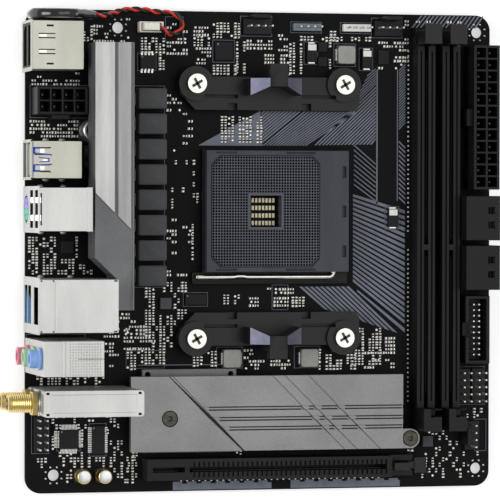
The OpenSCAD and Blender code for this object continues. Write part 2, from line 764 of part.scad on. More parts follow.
module battery_lead() {
  n = lead_sides;
  color("#b8322a") at(0, 0) polyhedron(
    points = [for (i = [0:lead_last]) each lead_ring(i)],
    faces = [
      [for (k = [0:n - 1]) k],
      [for (k = [0:n - 1]) lead_last * n + n - 1 - k],
      for (i = [0:lead_last - 1], k = [0:n - 1])
        [i * n + k, (i + 1) * n + k, (i + 1) * n + (k + 1) % n, i * n + (k + 1) % n]
    ]
  );
}

module battery_header() {
  color("#e6dfc8") difference() {
    block([40, 48.6], [162.2, 165.9], [0, 4]);
    block([40.7, 47.9], [162.6, 165.5], [0.8, 5]);
  }
}

module battery_plug() {
  color("#efe9d6") block([41, 46.6], [162.8, 165.3], [1, 7.2]);
}

module video_shell() {
  color("#c9c7bd") {
    difference() {
      open_shell([-0.7, 17.3], [148.3, 165], video_h);
      for (y = [153.4, 154.9, 158.9, 160.4]) block([1.6, 7.4], [y, y + 0.2], [video_h - 1, 20]);
      for (y = [149.8, 163]) block([4.4, 6.8], [y, y + 0.6], [video_h - 1, 20]);
    }
    difference() {
      block([-1.2, -0.7], [147.6, 165.4], [0, video_h + 0.4]);
      block([-2, 0], [149, 164.4], [1, video_h - 0.7]);
    }
  }
}

// Plastic insides of the two video ports, the lower one with a cut corner
module video_inserts() {
  y0 = 148.8;
  y1 = 164.5;
  color("#151515") difference() {
    block([-0.9, 16.8], [y0 + 0.3, y1 - 0.2], [1, video_h - 0.8]);
    block([-2, 8], [y0 + 0.9, y1 - 0.9], [10.8, 16]);
    at(0, 0) translate([-2, 0, 2.2]) rotate([90, 0, 90]) linear_extrude(10)
      polygon([[y0 + 0.9, 0], [y1 - 2.6, 0], [y1 - 0.9, 1.8], [y1 - 0.9, 5.4], [y0 + 0.9, 5.4]]);
  }
  color("#202020") {
    block([0, 8], [y0 + 2.6, y1 - 2.6], [12.6, 13.8]);
    block([0, 8], [y0 + 2.4, y1 - 3.6], [4.4, 5.4]);
  }
}

// A USB port's blue tongue on the back wall of its mouth
module usb_tongue(x, y, z, c) {
  color(c) block([x[0], x[1]], [y + 1.4, y + 11.4], [z + 2.8, z + 4.4]);
}

module usb_shell() {
  color("#cfcdc6") {
    difference() {
      open_shell([-0.4, 17.1], [110.6, 123.4], usb_h);
      for (y = [112.8, 115, 118.6, 120.9]) block([0.4, 6], [y, y + 0.35], [usb_h - 1, 20]);
    }
    for (z = [7.5, 8.1]) block([-0.4, 16.6], [111, 123], [z, z + 0.4]);
    difference() {
      block([-0.9, -0.4], [110, 124], [0, usb_h + 0.5]);
      for (z = [0.6, 8.5]) block([-2, 0], [111, 123], [z, z + 6.7]);
    }
  }
}

module usb_inserts() {
  for (z = [0.7, 8.6]) {
    color("#1f4fb5") block([11, 16.5], [111.1, 122.9], [z, z + 6.5]);
    usb_tongue([1, 11], 110.6, z, "#1f4fb5");
  }
}

ps2_usb_z = [13, 22.8];
lan_usb_z = [1.5, 8.6];
din_y = 99.9;
din_z = 6;
din_r = 5;

module ps2_shell() {
  color("#d2d1cc") difference() {
    union() {
      open_shell([-0.2, 18.1], [92.3, 107.2], ps2_h);
      difference() {
        block([-0.7, -0.2], [91.7, 107.8], [0, ps2_h + 0.4]);
        for (z = ps2_usb_z) block([-2, 0], [93.4, 106.4], [z, z + 6.6]);
        at(-2, din_y, din_z) rotate([0, 90, 0]) cylinder(r = din_r + 0.1, h = 3);
      }
    }
    block([0.1, 0.7], [94.4, 105.4], [ps2_h - 1, 40]);
  }
  color("#d2d1cc") for (z = ps2_usb_z, y = [95.9, 102]) block([-0.5, 6], [y, y + 1.9], [z + 0.3, z + 0.6]);
}

// The round keyboard and mouse port over two USB ports
// One coloured half of the round port: its block, its collar, the plug groove and the pin holes
module din_half(c, y, away) {
  color(c) difference() {
    union() {
      block([0, 12], y, [0.7, 11.4]);
      at(-0.6, din_y, din_z) rotate([0, 90, 0]) cylinder(r = din_r, h = 1);
    }
    block([-2, 20], away, [-1, 20]);
    at(-2, din_y, din_z) rotate([0, 90, 0]) difference() {
      cylinder(r = 4.6, h = 9);
      translate([0, 0, -1]) cylinder(r = 4.1, h = 11);
    }
    at(-2, din_y, din_z) rotate([0, 90, 0]) {
      for (a = [45:90:315]) rotate([0, 0, a]) translate([2.6, 0, 0]) cylinder(r = 0.45, h = 6, $fn = 16);
      translate([-0.9, 0.9, 0]) cube([1.8, 0.9, 6]);
    }
  }
}

module ps2_inserts() {
  din_half("#35b896", [93.2, din_y], [din_y, 120]);
  din_half("#7c5cae", [din_y, 106.6], [80, din_y]);
  color("#262626") for (z = ps2_usb_z) {
    block([0, 17.6], [93, 106.8], [z - 0.9, z + 0.3]);
    block([11, 17.6], [93, 106.8], [z + 0.3, z + 6.4]);
    block([1, 11], [94.6, 105.2], [z + 2.8, z + 4.4]);
  }
}

module lan_shell() {
  color("#cecdc8") {
    difference() {
      open_shell([-0.1, 27.4], [57.4, 75.7], lan_h);
      block([5.2, 5.7], [58.6, 74.6], [lan_h - 0.2, 40]);
    }
    difference() {
      block([-0.6, -0.1], [56.8, 76.4], [0, lan_h + 0.4]);
      for (z = lan_usb_z) block([-2, 1], [60.2, 73.4], [z, z + 6.6]);
      block([-2, 1], [60.2, 73], [20.2, lan_h - 0.5]);
    }
  }
}

// The network port's housing over two USB ports
module lan_inserts() {
  color("#1a1a1a") difference() {
    block([0, 26.8], [58.2, 75], [16, 29.4]);
    block([-1, 13.4], [60.9, 72.3], [20.6, 28.2]);
    block([-1, 8], [63.6, 69.6], [28.2, 28.9]);
  }
  for (z = lan_usb_z) color("#4aa3e0") {
    block([0, 20], [58.2, 75], [z - 0.8, z + 0.3]);
    block([11, 20], [58.2, 75], [z + 0.3, z + 6.4]);
    block([1, 11], [61.6, 71.6], [z + 2.8, z + 4.4]);
  }
}

jack_z = [6.5, 18.7, 31];
jack_y = 48.7;
jack_r = 1.8;

module audio_block() {
  color("#d3d2cc") difference() {
    block([0, 21], [42.7, 54.8], [0, audio_h]);
    for (z = jack_z) at(-5, jack_y, z) rotate([0, 90, 0]) cylinder(r = jack_r, h = 20);
    block([12, 22], [48.6, 48.8], [audio_h - 0.2, audio_h + 1]);
  }
}

module audio_jacks() {
  for (i = [0:2]) color(["#e08296", "#a9d6a8", "#7fa8e6"][i])
    at(-4.1, jack_y, jack_z[i]) rotate([0, 90, 0]) difference() {
      union() {
        cylinder(r = 3.1, h = 4.1);
        translate([0, 0, 3.1]) cylinder(r = 3.9, h = 1);
      }
      translate([0, 0, -1]) cylinder(r = jack_r, h = 6);
    }
}

module wifi_shield() {
  x = [0.8, 35.8];
  y = [28.7, 37.7];
  r = 1;
  color("#d4d4d2") difference() {
    at(x[0], y[0]) linear_extrude(wifi_h) union() {
      translate([r, 0]) square([x[1] - x[0] - 2 * r, y[1] - y[0]]);
      translate([0, r]) square([x[1] - x[0], y[1] - y[0] - 2 * r]);
      for (cx = [r, x[1] - x[0] - r], cy = [r, y[1] - y[0] - r]) translate([cx, cy]) circle(r);
    }
    block([x[0] + 0.6, x[1] - 0.6], [y[0] + 0.5, y[1] - 0.5], [-1, wifi_h - 0.6]);
    for (cx = [x[0] + 0.9, x[1] - 2], cy = [y[0] + 0.5, y[1] - 1.3])
      block([cx, cx + 1.1], [cy, cy + 0.8], [wifi_h - 1, wifi_h + 1]);
  }
}

// Wireless card standing in its socket inside the shield
module wifi_module() {
  color("#1d3a5a") block([7, 29], [32.8, 33.6], [2.2, 28]);
  color("#161616") {
    block([6, 30], [30.6, 35.8], [0, 2.2]);
    block([10, 26], [31.4, 32.8], [9, 24]);
  }
}

antenna_z = [10, 25];
antenna_y = 33.2;

module antenna_connectors() {
  color("#c9a955") for (z = antenna_z) at(0.8, antenna_y, z) rotate([0, -90, 0]) difference() {
    union() {
      cylinder(r = 4.6, h = 2, $fn = 6);
      cylinder(r = 3.17, h = 11.4);
    }
    translate([0, 0, 6]) cylinder(r = 2.3, h = 6);
  }
}

// Chips, coils and tantalum capacitors soldered flat on the board
module board_components() {
  color("#17181a") {
    block([68, 74.4], [152.8, 159.2], [0, 0.9]);
    block([12, 18.9], [15.6, 22.4], [0.1, 1.5]);
    block([23.6, 28.2], [13.6, 23.6], [0, 1.6]);
    for (y = [156.2, 151]) block([105.6, 109], [y, y + 3.4], [0, 1]);
    block([57.2, 65], [66, 69.8], [0, 1.2]);
    block([12.6, 17], [84.4, 88.6], [0, 0.9]);
    block([40.8, 46], [149.4, 154.2], [0, 1.6]);
    block([128, 132], [152, 157], [0, 0.9]);
    for (p = [[101.4, 152.4], [121.8, 150.4], [131.6, 93.6]])
      block([p[0], p[0] + 3.6], [p[1], p[1] + 6.6], [0.1, 2]);
  }
  color("#85867f") {
    for (p = [[112.4, 151.8], [70.6, 43.6], [99, 43.6]])
      block([p[0], p[0] + 6.6], [p[1], p[1] + 6.6], [0, 3]);
    block([144.6, 148.4], [14.6, 18.4], [0, 2]);
    block([48, 52], [64.6, 68.6], [0, 2]);
  }
}

pcb();
solder_tails();
backplate();
backplate_film();
bracket_upper();
bracket_lower();
bracket_screws();
socket_base();
socket_cover();
socket_lever();
socket_capacitors();
vrm_heatsink();
heatsink_trim();
heatsink_screws();
thermal_pads();
mosfets();
chokes();
bulk_capacitors();
m2_cover();
m2_cover_screws();
m2_standoffs();
m2_socket();
chipset();
chipset_heatsink();
pcie_slot();
pcie_latch();
slot_contacts();
dimm_slot_a();
dimm_slot_b();
dimm_latch_a();
dimm_latch_b();
main_power_socket();
cpu_power_socket();
power_pins();
sata_stack_a();
sata_stack_b();
usb3_header();
pin_headers();
header_pins();
fan_headers();
led_headers();
coin_cell();
cell_sleeve();
battery_lead();
battery_plug();
battery_header();
video_shell();
video_inserts();
usb_shell();
usb_inserts();
ps2_shell();
ps2_inserts();
lan_shell();
lan_inserts();
audio_block();
audio_jacks();
wifi_module();
wifi_shield();
antenna_connectors();
board_components();
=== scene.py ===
import json
import bpy
import bmesh
import numpy as np
from mathutils import Matrix, Vector
from mathutils.bvhtree import BVHTree


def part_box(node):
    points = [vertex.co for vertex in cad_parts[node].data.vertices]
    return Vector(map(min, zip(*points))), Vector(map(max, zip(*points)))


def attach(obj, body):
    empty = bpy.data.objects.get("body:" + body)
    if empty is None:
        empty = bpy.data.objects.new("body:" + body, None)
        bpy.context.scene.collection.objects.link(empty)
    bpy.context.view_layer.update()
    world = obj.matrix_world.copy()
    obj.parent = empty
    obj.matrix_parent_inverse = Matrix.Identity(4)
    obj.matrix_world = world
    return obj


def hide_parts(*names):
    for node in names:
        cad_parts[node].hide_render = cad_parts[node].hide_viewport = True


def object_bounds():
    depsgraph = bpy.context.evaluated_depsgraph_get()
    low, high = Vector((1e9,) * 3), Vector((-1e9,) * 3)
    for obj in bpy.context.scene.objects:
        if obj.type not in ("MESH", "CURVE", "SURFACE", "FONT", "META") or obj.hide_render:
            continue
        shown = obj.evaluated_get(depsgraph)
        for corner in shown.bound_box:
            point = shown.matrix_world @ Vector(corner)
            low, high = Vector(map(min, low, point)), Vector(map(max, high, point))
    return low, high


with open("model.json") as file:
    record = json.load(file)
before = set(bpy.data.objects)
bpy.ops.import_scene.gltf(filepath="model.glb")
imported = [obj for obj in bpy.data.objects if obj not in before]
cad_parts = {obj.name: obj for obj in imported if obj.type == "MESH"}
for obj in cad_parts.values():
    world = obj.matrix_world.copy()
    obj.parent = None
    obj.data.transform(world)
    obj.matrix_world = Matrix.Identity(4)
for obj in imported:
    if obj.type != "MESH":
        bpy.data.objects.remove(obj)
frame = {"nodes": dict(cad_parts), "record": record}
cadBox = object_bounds()
nodes = frame["nodes"]
mm = 0.001
boardLow, boardHigh = (np.array(corner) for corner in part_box("pcb"))
boardOrigin = np.array([boardLow[0], boardLow[1], boardHigh[2]])  # rear lower corner, component side
bodyOf = {node: body for body, members in frame["record"]["behaviour"]["bodies"].items()
          for node in members}
print("frame loaded:", len(nodes), "nodes")


def toFrame(points):
    # board millimetres (from the rear edge, from the lower edge, above the board) to metres in the frame
    return boardOrigin + np.asarray(points, float) * mm


def boardBox(node):
    # a node's lowest and highest corner in board millimetres
    low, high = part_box(node)
    return (np.array(low) - boardOrigin) / mm, (np.array(high) - boardOrigin) / mm


def hexColour(text):
    # sRGB hex to linear: c/12.92 below 0.04045, otherwise ((c + 0.055)/1.055)^2.4
    parts = np.array([int(text[i:i + 2], 16) / 255 for i in (1, 3, 5)])
    linear = np.where(parts <= 0.04045, parts / 12.92, ((parts + 0.055) / 1.055) ** 2.4)
    return (*linear, 1.0)


def addNode(tree, kind, settings=None, links=None):
    # one shader node with its settings and its incoming links, given as socket: (node, output)
    node = tree.nodes.new(kind)
    for key, value in (settings or {}).items():
        if hasattr(node, key) and key not in node.inputs:
            setattr(node, key, value)
        else:
            node.inputs[key].default_value = value
    for key, (source, output) in (links or {}).items():
        tree.links.new(source.outputs[output], node.inputs[key])
    return node


def recipe(colour, second, patch, grain, speckle, roughness, bump, metallic=0.0, specular=0.5, coat=0.0,
           stretch=(1, 1, 1)):
    # two colours, sizes of patch and grain, depth of the specks, roughness from and to, height of the bump
    return {"colour": colour, "second": second, "patch": patch, "grain": grain, "speckle": speckle,
            "roughness": roughness, "bump": bump, "metallic": metallic, "specular": specular, "coat": coat,
            "stretch": stretch}


def surfaceMaterial(name, look):
    # a finish from its dictionary: noise moves the colour and the roughness, a finer noise gives the bump
    material = bpy.data.materials.new(name)
    material.use_nodes = True
    tree = material.node_tree
    tree.nodes.clear()
    place = addNode(tree, "ShaderNodeTexCoord")
    mapping = addNode(tree, "ShaderNodeMapping", {"Scale": look["stretch"]}, {"Vector": (place, "Object")})
    broad = addNode(tree, "ShaderNodeTexNoise", {"Scale": 1 / (look["patch"] * mm), "Detail": 4.0},
                    {"Vector": (mapping, "Vector")})
    fine = addNode(tree, "ShaderNodeTexNoise", {"Scale": 1 / (look["grain"] * mm), "Detail": 2.0},
                   {"Vector": (mapping, "Vector")})
    ramp = addNode(tree, "ShaderNodeMapRange", {"From Min": 0.35, "From Max": 0.65},
                   {"Value": (broad, "Fac")})
    speck = addNode(tree, "ShaderNodeMapRange", {"From Min": 0.3, "From Max": 0.7,
                                                 "To Min": 1 - look["speckle"],
                                                 "To Max": 1 + look["speckle"]},
                    {"Value": (fine, "Fac")})
    tint = addNode(tree, "ShaderNodeMix", {"data_type": "RGBA"}, {"Factor": (ramp, "Result")})
    tint.inputs[6].default_value = hexColour(look["colour"])
    tint.inputs[7].default_value = hexColour(look["second"])
    shade = addNode(tree, "ShaderNodeVectorMath", {"operation": "MULTIPLY"},
                    {0: (tint, 2), 1: (speck, "Result")})
    rough = addNode(tree, "ShaderNodeMapRange", {"To Min": look["roughness"][0],
                                                 "To Max": look["roughness"][1]},
                    {"Value": (broad, "Fac")})
    bump = addNode(tree, "ShaderNodeBump", {"Strength": look["bump"], "Distance": look["grain"] * mm * 0.3},
                   {"Height": (fine, "Fac")})
    shader = addNode(tree, "ShaderNodeBsdfPrincipled",
                     {"Metallic": look["metallic"], "Specular IOR Level": look["specular"],
                      "Coat Weight": look["coat"], "Coat Roughness": coatRoughness},
                     {"Base Color": (shade, "Vector"), "Roughness": (rough, "Result"),
                      "Normal": (bump, "Normal")})
    addNode(tree, "ShaderNodeOutputMaterial", None, {"Surface": (shader, "BSDF")})
    return material


# Each finish starts from the real material. Sizes of patches and grain are in millimetres
coatRoughness = 0.15
looks = {
    # glass-epoxy board under black solder mask, curtain coated: dark, satin, faintly mottled
    "solderMask": recipe("#0f1011", "#121314", 6, 0.5, 0.05, (0.42, 0.52), 0.12, specular=0.07),
    # white-grey legend ink, screen printed: matte and slightly porous
    "legendInk": recipe("#797e8b", "#70747f", 3, 0.2, 0.06, (0.6, 0.75), 0.1, specular=0.3),
    # glass-filled nylon 66, injection moulded: black, satin, fine mould texture
    "mouldedNylon": recipe("#141416", "#18181a", 5, 0.25, 0.08, (0.3, 0.38), 0.12, specular=0.26),
    # glass-filled nylon 66, the sloping facets: painted sheen, a pale lilac copy for the facet that faces
    # the light and a dimmer painted sheen for the facet that faces away
    "facetPaintedSheen": recipe("#8586a0", "#7b7c96", 2, 0.2, 0.14, (0.4, 0.5), 0.2),
    "facetPaintedDimSheen": recipe("#4a4a5c", "#434355", 2, 0.2, 0.14, (0.4, 0.5), 0.2),
    # liquid-crystal polymer between the contact holes, paler than the cover so that the holes show
    "contactLand": recipe("#555861", "#4e515a", 7, 0.3, 0.06, (0.4, 0.5), 0.08, specular=0.25),
    # unlit depth of a contact hole: dead black with almost no gloss
    "holeShade": recipe("#050505", "#070707", 4, 0.25, 0.04, (0.8, 0.9), 0.02, specular=0.02),
    # liquid-crystal polymer, injection moulded: slate grey, smooth satin with flow marks
    "socketPolymer": recipe("#3a3c44", "#43454d", 7, 0.3, 0.06,
                            (0.4, 0.5), 0.1, specular=0.25, stretch=(1, 0.35, 1)),
    # tinned cold-rolled steel sheet, stamped: pale warm grey, soft reflections, faint rolling streaks
    "tinnedSheet": recipe("#c6c6b9", "#bdbdb1", 9, 0.35, 0.03,
                          (0.38, 0.48), 0.06, metallic=0.85, stretch=(1, 0.25, 1)),
    # nickel-plated steel sheet, stamped: neutral pale grey with a soft sheen
    "nickelSheet": recipe("#cbcbc8", "#c2c2c0", 9, 0.35, 0.03,
                          (0.36, 0.46), 0.06, metallic=0.85, stretch=(1, 0.25, 1)),
    # aluminium strip, brushed and dyed mid grey
    "greyStrip": recipe("#9b9b9a", "#8f8f8f", 2.5, 0.25, 0.06,
                        (0.34, 0.44), 0.16, metallic=0.85, stretch=(1, 0.05, 1)),
    # ferrite drum coil cover, pressed and fired: mid grey, slightly warm
    "firedFerrite": recipe("#a3a49d", "#999a93", 2.5, 0.2, 0.06, (0.5, 0.62), 0.15, specular=0.3),
    # tin-plated contact pins deep in a housing: dull tin, painted dark as painted shade
    "tinPaintedShade": recipe("#45433e", "#3b3935", 1.5, 0.2, 0.06, (0.4, 0.5), 0.08, metallic=0.8),
    # nickel-plated steel, cold formed: bright with soft smears
    "nickelPlate": recipe("#dddbd4", "#cfccc4", 3, 0.3, 0.03, (0.16, 0.28), 0.04, metallic=1.0),
    # aluminium extrusion, bead blasted and dyed dark grey in the anodising bath
    "darkAnodised": recipe("#727375", "#6b6c6e", 12, 0.4, 0.09, (0.45, 0.55), 0.2, metallic=0.7),
    # aluminium plate, fine blasted and clear anodised over a light grey dye
    "greyAnodised": recipe("#8f8f8f", "#878787", 16, 0.35, 0.12, (0.42, 0.52), 0.22, metallic=0.75),
    # aluminium strip, brushed lengthwise and clear anodised: pale with straight hairlines
    "brushedStrip": recipe("#bdbdbb", "#b0b0ae", 2.5, 0.25, 0.06,
                           (0.34, 0.44), 0.16, metallic=0.85, stretch=(1, 0.05, 1)),
    # drawn aluminium can with a clear lacquer
    "drawnCan": recipe("#d9dadb", "#cbccce", 3, 0.2, 0.03, (0.25, 0.36), 0.05, metallic=0.9),
    # pressed iron powder in a dark lacquer: matte charcoal with a fine granular face
    "pressedPowder": recipe("#4f5052", "#545557", 3, 0.28, 0.12, (0.55, 0.68), 0.25, specular=0.25),
    # epoxy moulding compound, transfer moulded and vapour blasted
    "mouldingCompound": recipe("#111213", "#161719", 4, 0.18, 0.1, (0.5, 0.62), 0.14, specular=0.25),
    # tin-silver solder and tinned terminations: bright with a frosted skin
    "tinnedCopper": recipe("#e3e2dc", "#cfcdc6", 1.2, 0.15, 0.05, (0.25, 0.4), 0.1, metallic=0.8),
    # sintered barium titanate capacitor body: tan, dull
    "sinteredCeramic": recipe("#4d4034", "#3f342a", 1.5, 0.12, 0.06, (0.5, 0.62), 0.1, specular=0.3),
    # pale ceramic of the socket's decoupling capacitors with gold-tinted ends
    "paleCeramic": recipe("#fffadb", "#fff3c6", 0.8, 0.12, 0.05, (0.4, 0.52), 0.08, metallic=0.1),
    # hard gold over nickel, electroplated: deep yellow with soft gloss
    "goldPlate": recipe("#e8d291", "#dcc582", 2, 0.2, 0.04, (0.22, 0.34), 0.05, metallic=1.0),
    # brass, turned on a lathe
    "turnedBrass": recipe("#d9c17c", "#ccb46f", 2, 0.2, 0.05, (0.3, 0.42), 0.08, metallic=1.0),
    # black zinc plated screw steel
    "blackZinc": recipe("#514f49", "#434139", 1.5, 0.2, 0.08, (0.32, 0.45), 0.1, metallic=0.9),
    # cold-rolled steel plate with black powder coat, fine orange peel
    "powderCoat": recipe("#1b1c1f", "#202125", 5, 0.6, 0.06, (0.45, 0.58), 0.25, specular=0.3),
    # black polyester film, die cut
    "blackFilm": recipe("#0e0e0f", "#131314", 8, 0.8, 0.04, (0.3, 0.4), 0.05),
    # silicone gap pad, calendered: blue grey, dead matte
    "gapPad": recipe("#8490a0", "#7b8796", 3, 0.3, 0.05, (0.75, 0.85), 0.2),
    # natural nylon 66, injection moulded: cream, slightly waxy
    "naturalNylon": recipe("#f3f0e4", "#ebe7d8", 3, 0.25, 0.04, (0.4, 0.5), 0.08),
    # white thermoplastic polyester, injection moulded
    "whitePolyester": recipe("#efefec", "#e6e6e2", 3, 0.25, 0.03, (0.4, 0.5), 0.06),
    # grey thermoplastic polyester, injection moulded
    "greyPolyester": recipe("#74808c", "#6b7783", 3, 0.25, 0.05, (0.45, 0.55), 0.08),
    # heat-shrunk polyolefin sleeve: black, very glossy, softly rippled
    "shrinkSleeve": recipe("#0b0b0c", "#111113", 5, 4, 0.03, (0.1, 0.18), 0.25, coat=0.6),
    # port polymers, injection moulded
    "blackPort": recipe("#0d0d0e", "#121213", 4, 0.25, 0.06, (0.4, 0.5), 0.08, specular=0.25),
    "bluePort": recipe("#1d46b4", "#1a3fa6", 4, 0.25, 0.04, (0.35, 0.45), 0.08),
    "skyPort": recipe("#4b9fdc", "#4394d0", 4, 0.25, 0.04, (0.35, 0.45), 0.08),
    "purplePort": recipe("#9a84d8", "#8e78cc", 4, 0.25, 0.04, (0.35, 0.45), 0.08),
    "greenPort": recipe("#3fc0a6", "#38b39a", 4, 0.25, 0.04, (0.35, 0.45), 0.08),
    "pinkPort": recipe("#dd8296", "#d3778b", 3, 0.2, 0.04, (0.35, 0.45), 0.08),
    "palePort": recipe("#a9d3a4", "#9fc99a", 3, 0.2, 0.04, (0.35, 0.45), 0.08),
    "lineInPort": recipe("#86ace4", "#7aa1da", 3, 0.2, 0.04, (0.35, 0.45), 0.08),
    # extruded vinyl wire insulation, glossy
    "redWire": recipe("#d93524", "#cb2c1d", 2, 0.2, 0.04, (0.28, 0.38), 0.05),
    "blackWire": recipe("#141415", "#1a1a1b", 2, 0.2, 0.04, (0.28, 0.38), 0.05),
    # chip package laminate and wireless card laminate
    "packageLaminate": recipe("#243d2f", "#2a4536", 4, 0.4, 0.06, (0.4, 0.5), 0.1),
    "cardLaminate": recipe("#1c3857", "#20405f", 4, 0.4, 0.06, (0.4, 0.5), 0.1),
}
finish = {name: surfaceMaterial(name, look) for name, look in looks.items()}
print("finishes made:", len(finish))


def addPiece(name, points, faces, material, body="board", replaced=(), like=None, smoothAngle=0.0):
    # points in board millimetres; faces as index lists; like is not used; a smoothing angle above 0 rounds
    # the shading
    mesh = bpy.data.meshes.new(name)
    mesh.from_pydata(toFrame(points).tolist(), [], [list(map(int, face)) for face in faces])
    mesh.update()
    piece = bpy.data.objects.new(name, mesh)
    bpy.context.scene.collection.objects.link(piece)
    mesh.materials.append(finish[material])
    if smoothAngle > 0:
        mesh.polygons.foreach_set("use_smooth", np.ones(len(mesh.polygons), bool))
        mesh.set_sharp_from_angle(angle=np.radians(smoothAngle))
    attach(piece, body)
    if replaced:
        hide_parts(*replaced)
    return piece


def joinParts(parts):
    # several (points, faces) pairs as one
    points, faces, start = [], [], 0
    for partPoints, partFaces in parts:
        partPoints = np.asarray(partPoints, float).reshape(-1, 3)
        points.append(partPoints)
        faces += [[int(i) + start for i in face] for face in partFaces]
        start += len(partPoints)
    return np.vstack(points), faces


def skinRings(rings, closed=True):
    # rings[copy, level, side] are points; neighbours along level and side make quads, the end rings make
    # caps
    rings = np.asarray(rings, float)
    if rings.ndim == 3:
        rings = rings[None]
    copies, levels, sides, _ = rings.shape
    base = (np.arange(copies) * levels * sides)[:, None, None]
    level = (np.arange(levels - 1) * sides)[None, :, None]
    side = np.arange(sides)[None, None, :]
    after = (side + 1) % sides
    a, b = base + level + side, base + level + after
    quads = np.stack([a, b, b + sides, a + sides], -1).reshape(-1, 4).tolist()
    if closed:
        low = (base[:, :, 0] + np.arange(sides)[::-1]).tolist()
        high = (base[:, :, 0] + (levels - 1) * sides + np.arange(sides)).tolist()
        quads += low + high
    return rings.reshape(-1, 3), quads


def roundRectangle(halfX, halfY, radius, steps):
    # anticlockwise outline: each corner is a quarter circle of the given radius
    angles = (np.linspace(0, np.pi / 2, steps + 1)[None, :] + np.arange(4)[:, None] * np.pi / 2)
    signX = np.array([1, -1, -1, 1])[:, None]
    signY = np.array([1, 1, -1, -1])[:, None]
    x = signX * (halfX - radius) + radius * np.cos(angles)
    y = signY * (halfY - radius) + radius * np.sin(angles)
    return np.stack([x.ravel(), y.ravel()], -1)


def roundedBlocks(centres, half, levels, radius=0.3, steps=3):
    # blocks at the centres; each level is (height, inset), the outline drawn in by the inset at that height
    centres = np.asarray(centres, float).reshape(-1, 3)
    rings = []
    for height, inset in levels:
        outline = roundRectangle(half[0] - inset, half[1] - inset, max(radius - inset, 0.02), steps)
        rings.append(np.column_stack([outline, np.full(len(outline), height)]))
    return skinRings(centres[:, None, None, :] + np.array(rings)[None])


def lathe(centre, axis, profile, sides=32):
    # profile of (radius, distance) turned about the axis; the axis is a letter with its sign
    profile = np.asarray(profile, float)
    turn = np.linspace(0, 2 * np.pi, sides, endpoint=False)
    radius, along = profile[:, 0][:, None], profile[:, 1][:, None]
    u, v = radius * np.cos(turn), radius * np.sin(turn)
    w = np.broadcast_to(along, u.shape)
    layout = {"+z": (u, v, w), "-x": (-w, v, u), "+y": (v, w, u), "-y": (u, -w, v)}
    rings = np.stack(layout[axis], -1) + np.asarray(centre, float)
    return skinRings(rings)


def blocks(lows, highs, edge=0.0):
    # plain blocks, their top edges cut back by the chamfer
    lows, highs = np.asarray(lows, float).reshape(-1, 3), np.asarray(highs, float).reshape(-1, 3)
    cornerX, cornerY = np.array([0, 1, 1, 0]), np.array([0, 0, 1, 1])
    def ring(height, inset):
        x = np.where(cornerX, highs[:, :1] - inset, lows[:, :1] + inset)
        y = np.where(cornerY, highs[:, 1:2] - inset, lows[:, 1:2] + inset)
        return np.stack([x, y, np.broadcast_to(height[:, None], x.shape)], -1)
    levels = [ring(lows[:, 2], 0), ring(highs[:, 2] - edge, 0)] + \
             ([ring(highs[:, 2], edge)] if edge else [])
    return skinRings(np.stack(levels, 1))


def slabs(outlines, low, high):
    # flat outlines given a thickness
    parts = []
    for outline in outlines:
        outline = np.asarray(outline, float)
        rings = [np.column_stack([outline, np.full(len(outline), z)]) for z in (low, high)]
        parts.append(skinRings(np.array(rings)))
    return joinParts(parts)


keptFacets = ("socket_cover",)  # faces here have notches and windows, and joining them folds the bevel over


def softEdged(node, material, width, segments=2, angle=35):
    # a merged copy of the node's mesh with its edges rounded, shown in the node's place
    name = node + "_finished"
    mesh = nodes[node].data.copy()
    mesh.name = name
    work = bmesh.new()
    work.from_mesh(mesh)
    bmesh.ops.remove_doubles(work, verts=work.verts, dist=2e-6)
    if node not in keptFacets:
        bmesh.ops.dissolve_limit(work, angle_limit=np.radians(1), verts=work.verts, edges=work.edges)
    work.to_mesh(mesh)
    work.free()
    piece = bpy.data.objects.new(name, mesh)
    bpy.context.scene.collection.objects.link(piece)
    mesh.materials.clear()
    mesh.materials.append(finish[material])
    mesh.polygons.foreach_set("use_smooth", np.ones(len(mesh.polygons), bool))
    mesh.set_sharp_from_angle(angle=np.radians(angle))
    bevel = piece.modifiers.new("edge", "BEVEL")
    bevel.width = width * mm
    bevel.segments = segments
    bevel.limit_method = "ANGLE"
    bevel.angle_limit = np.radians(angle)
    bevel.use_clamp_overlap = True
    bevel.harden_normals = False
    weighted = piece.modifiers.new("shading", "WEIGHTED_NORMAL")
    weighted.keep_sharp = False
    weighted.weight = 100
    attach(piece, bodyOf[node])
    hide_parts(node)
    return piece


# Camera
view = {"lens": 246.8, "place": (-0.21430, 0.09448, 1.18727), "right": (0.97228863, 0.00166857, 0.23377773),
        "up": (0.00133311, 0.9999187, -0.01268129), "back": (-0.23377988, 0.01264152, 0.97220736)}
cameraData = bpy.data.cameras.new("camera")
cameraData.lens = view["lens"]
cameraData.sensor_width = 36
cameraData.clip_start = 0.05
cameraData.clip_end = 20
camera = bpy.data.objects.new("camera", cameraData)
bpy.context.scene.collection.objects.link(camera)
turn = Matrix([view["right"], view["up"], view["back"]]).transposed().to_4x4()
camera.matrix_world = Matrix.Translation(view["place"]) @ turn
bpy.context.scene.camera = camera
print("camera set")


# Battery lead: a red and a black wire twisted round each other along the route
lead = {
    "route": [(23, 167.6, 9), (26, 167.6, 8.6), (29.4, 168.2, 5.8), (33, 169.6, 2.8), (37.4, 170.3, 1.6),
              (42, 170.2, 1.4), (46.6, 169.6, 1.4), (51.2, 169.2, 1.4), (54.2, 168.1, 1.4),
              (55.7, 165.4, 1.5),
              (54.6, 162.8, 2), (51.9, 161.6, 3.3), (49.4, 162.2, 4.9), (47.5, 163.4, 5.8), (46, 164.6, 6)],
    "diameter": 2.0, "wire": 1.0, "twist": 7.5, "sides": 10, "perSpan": 14,
}


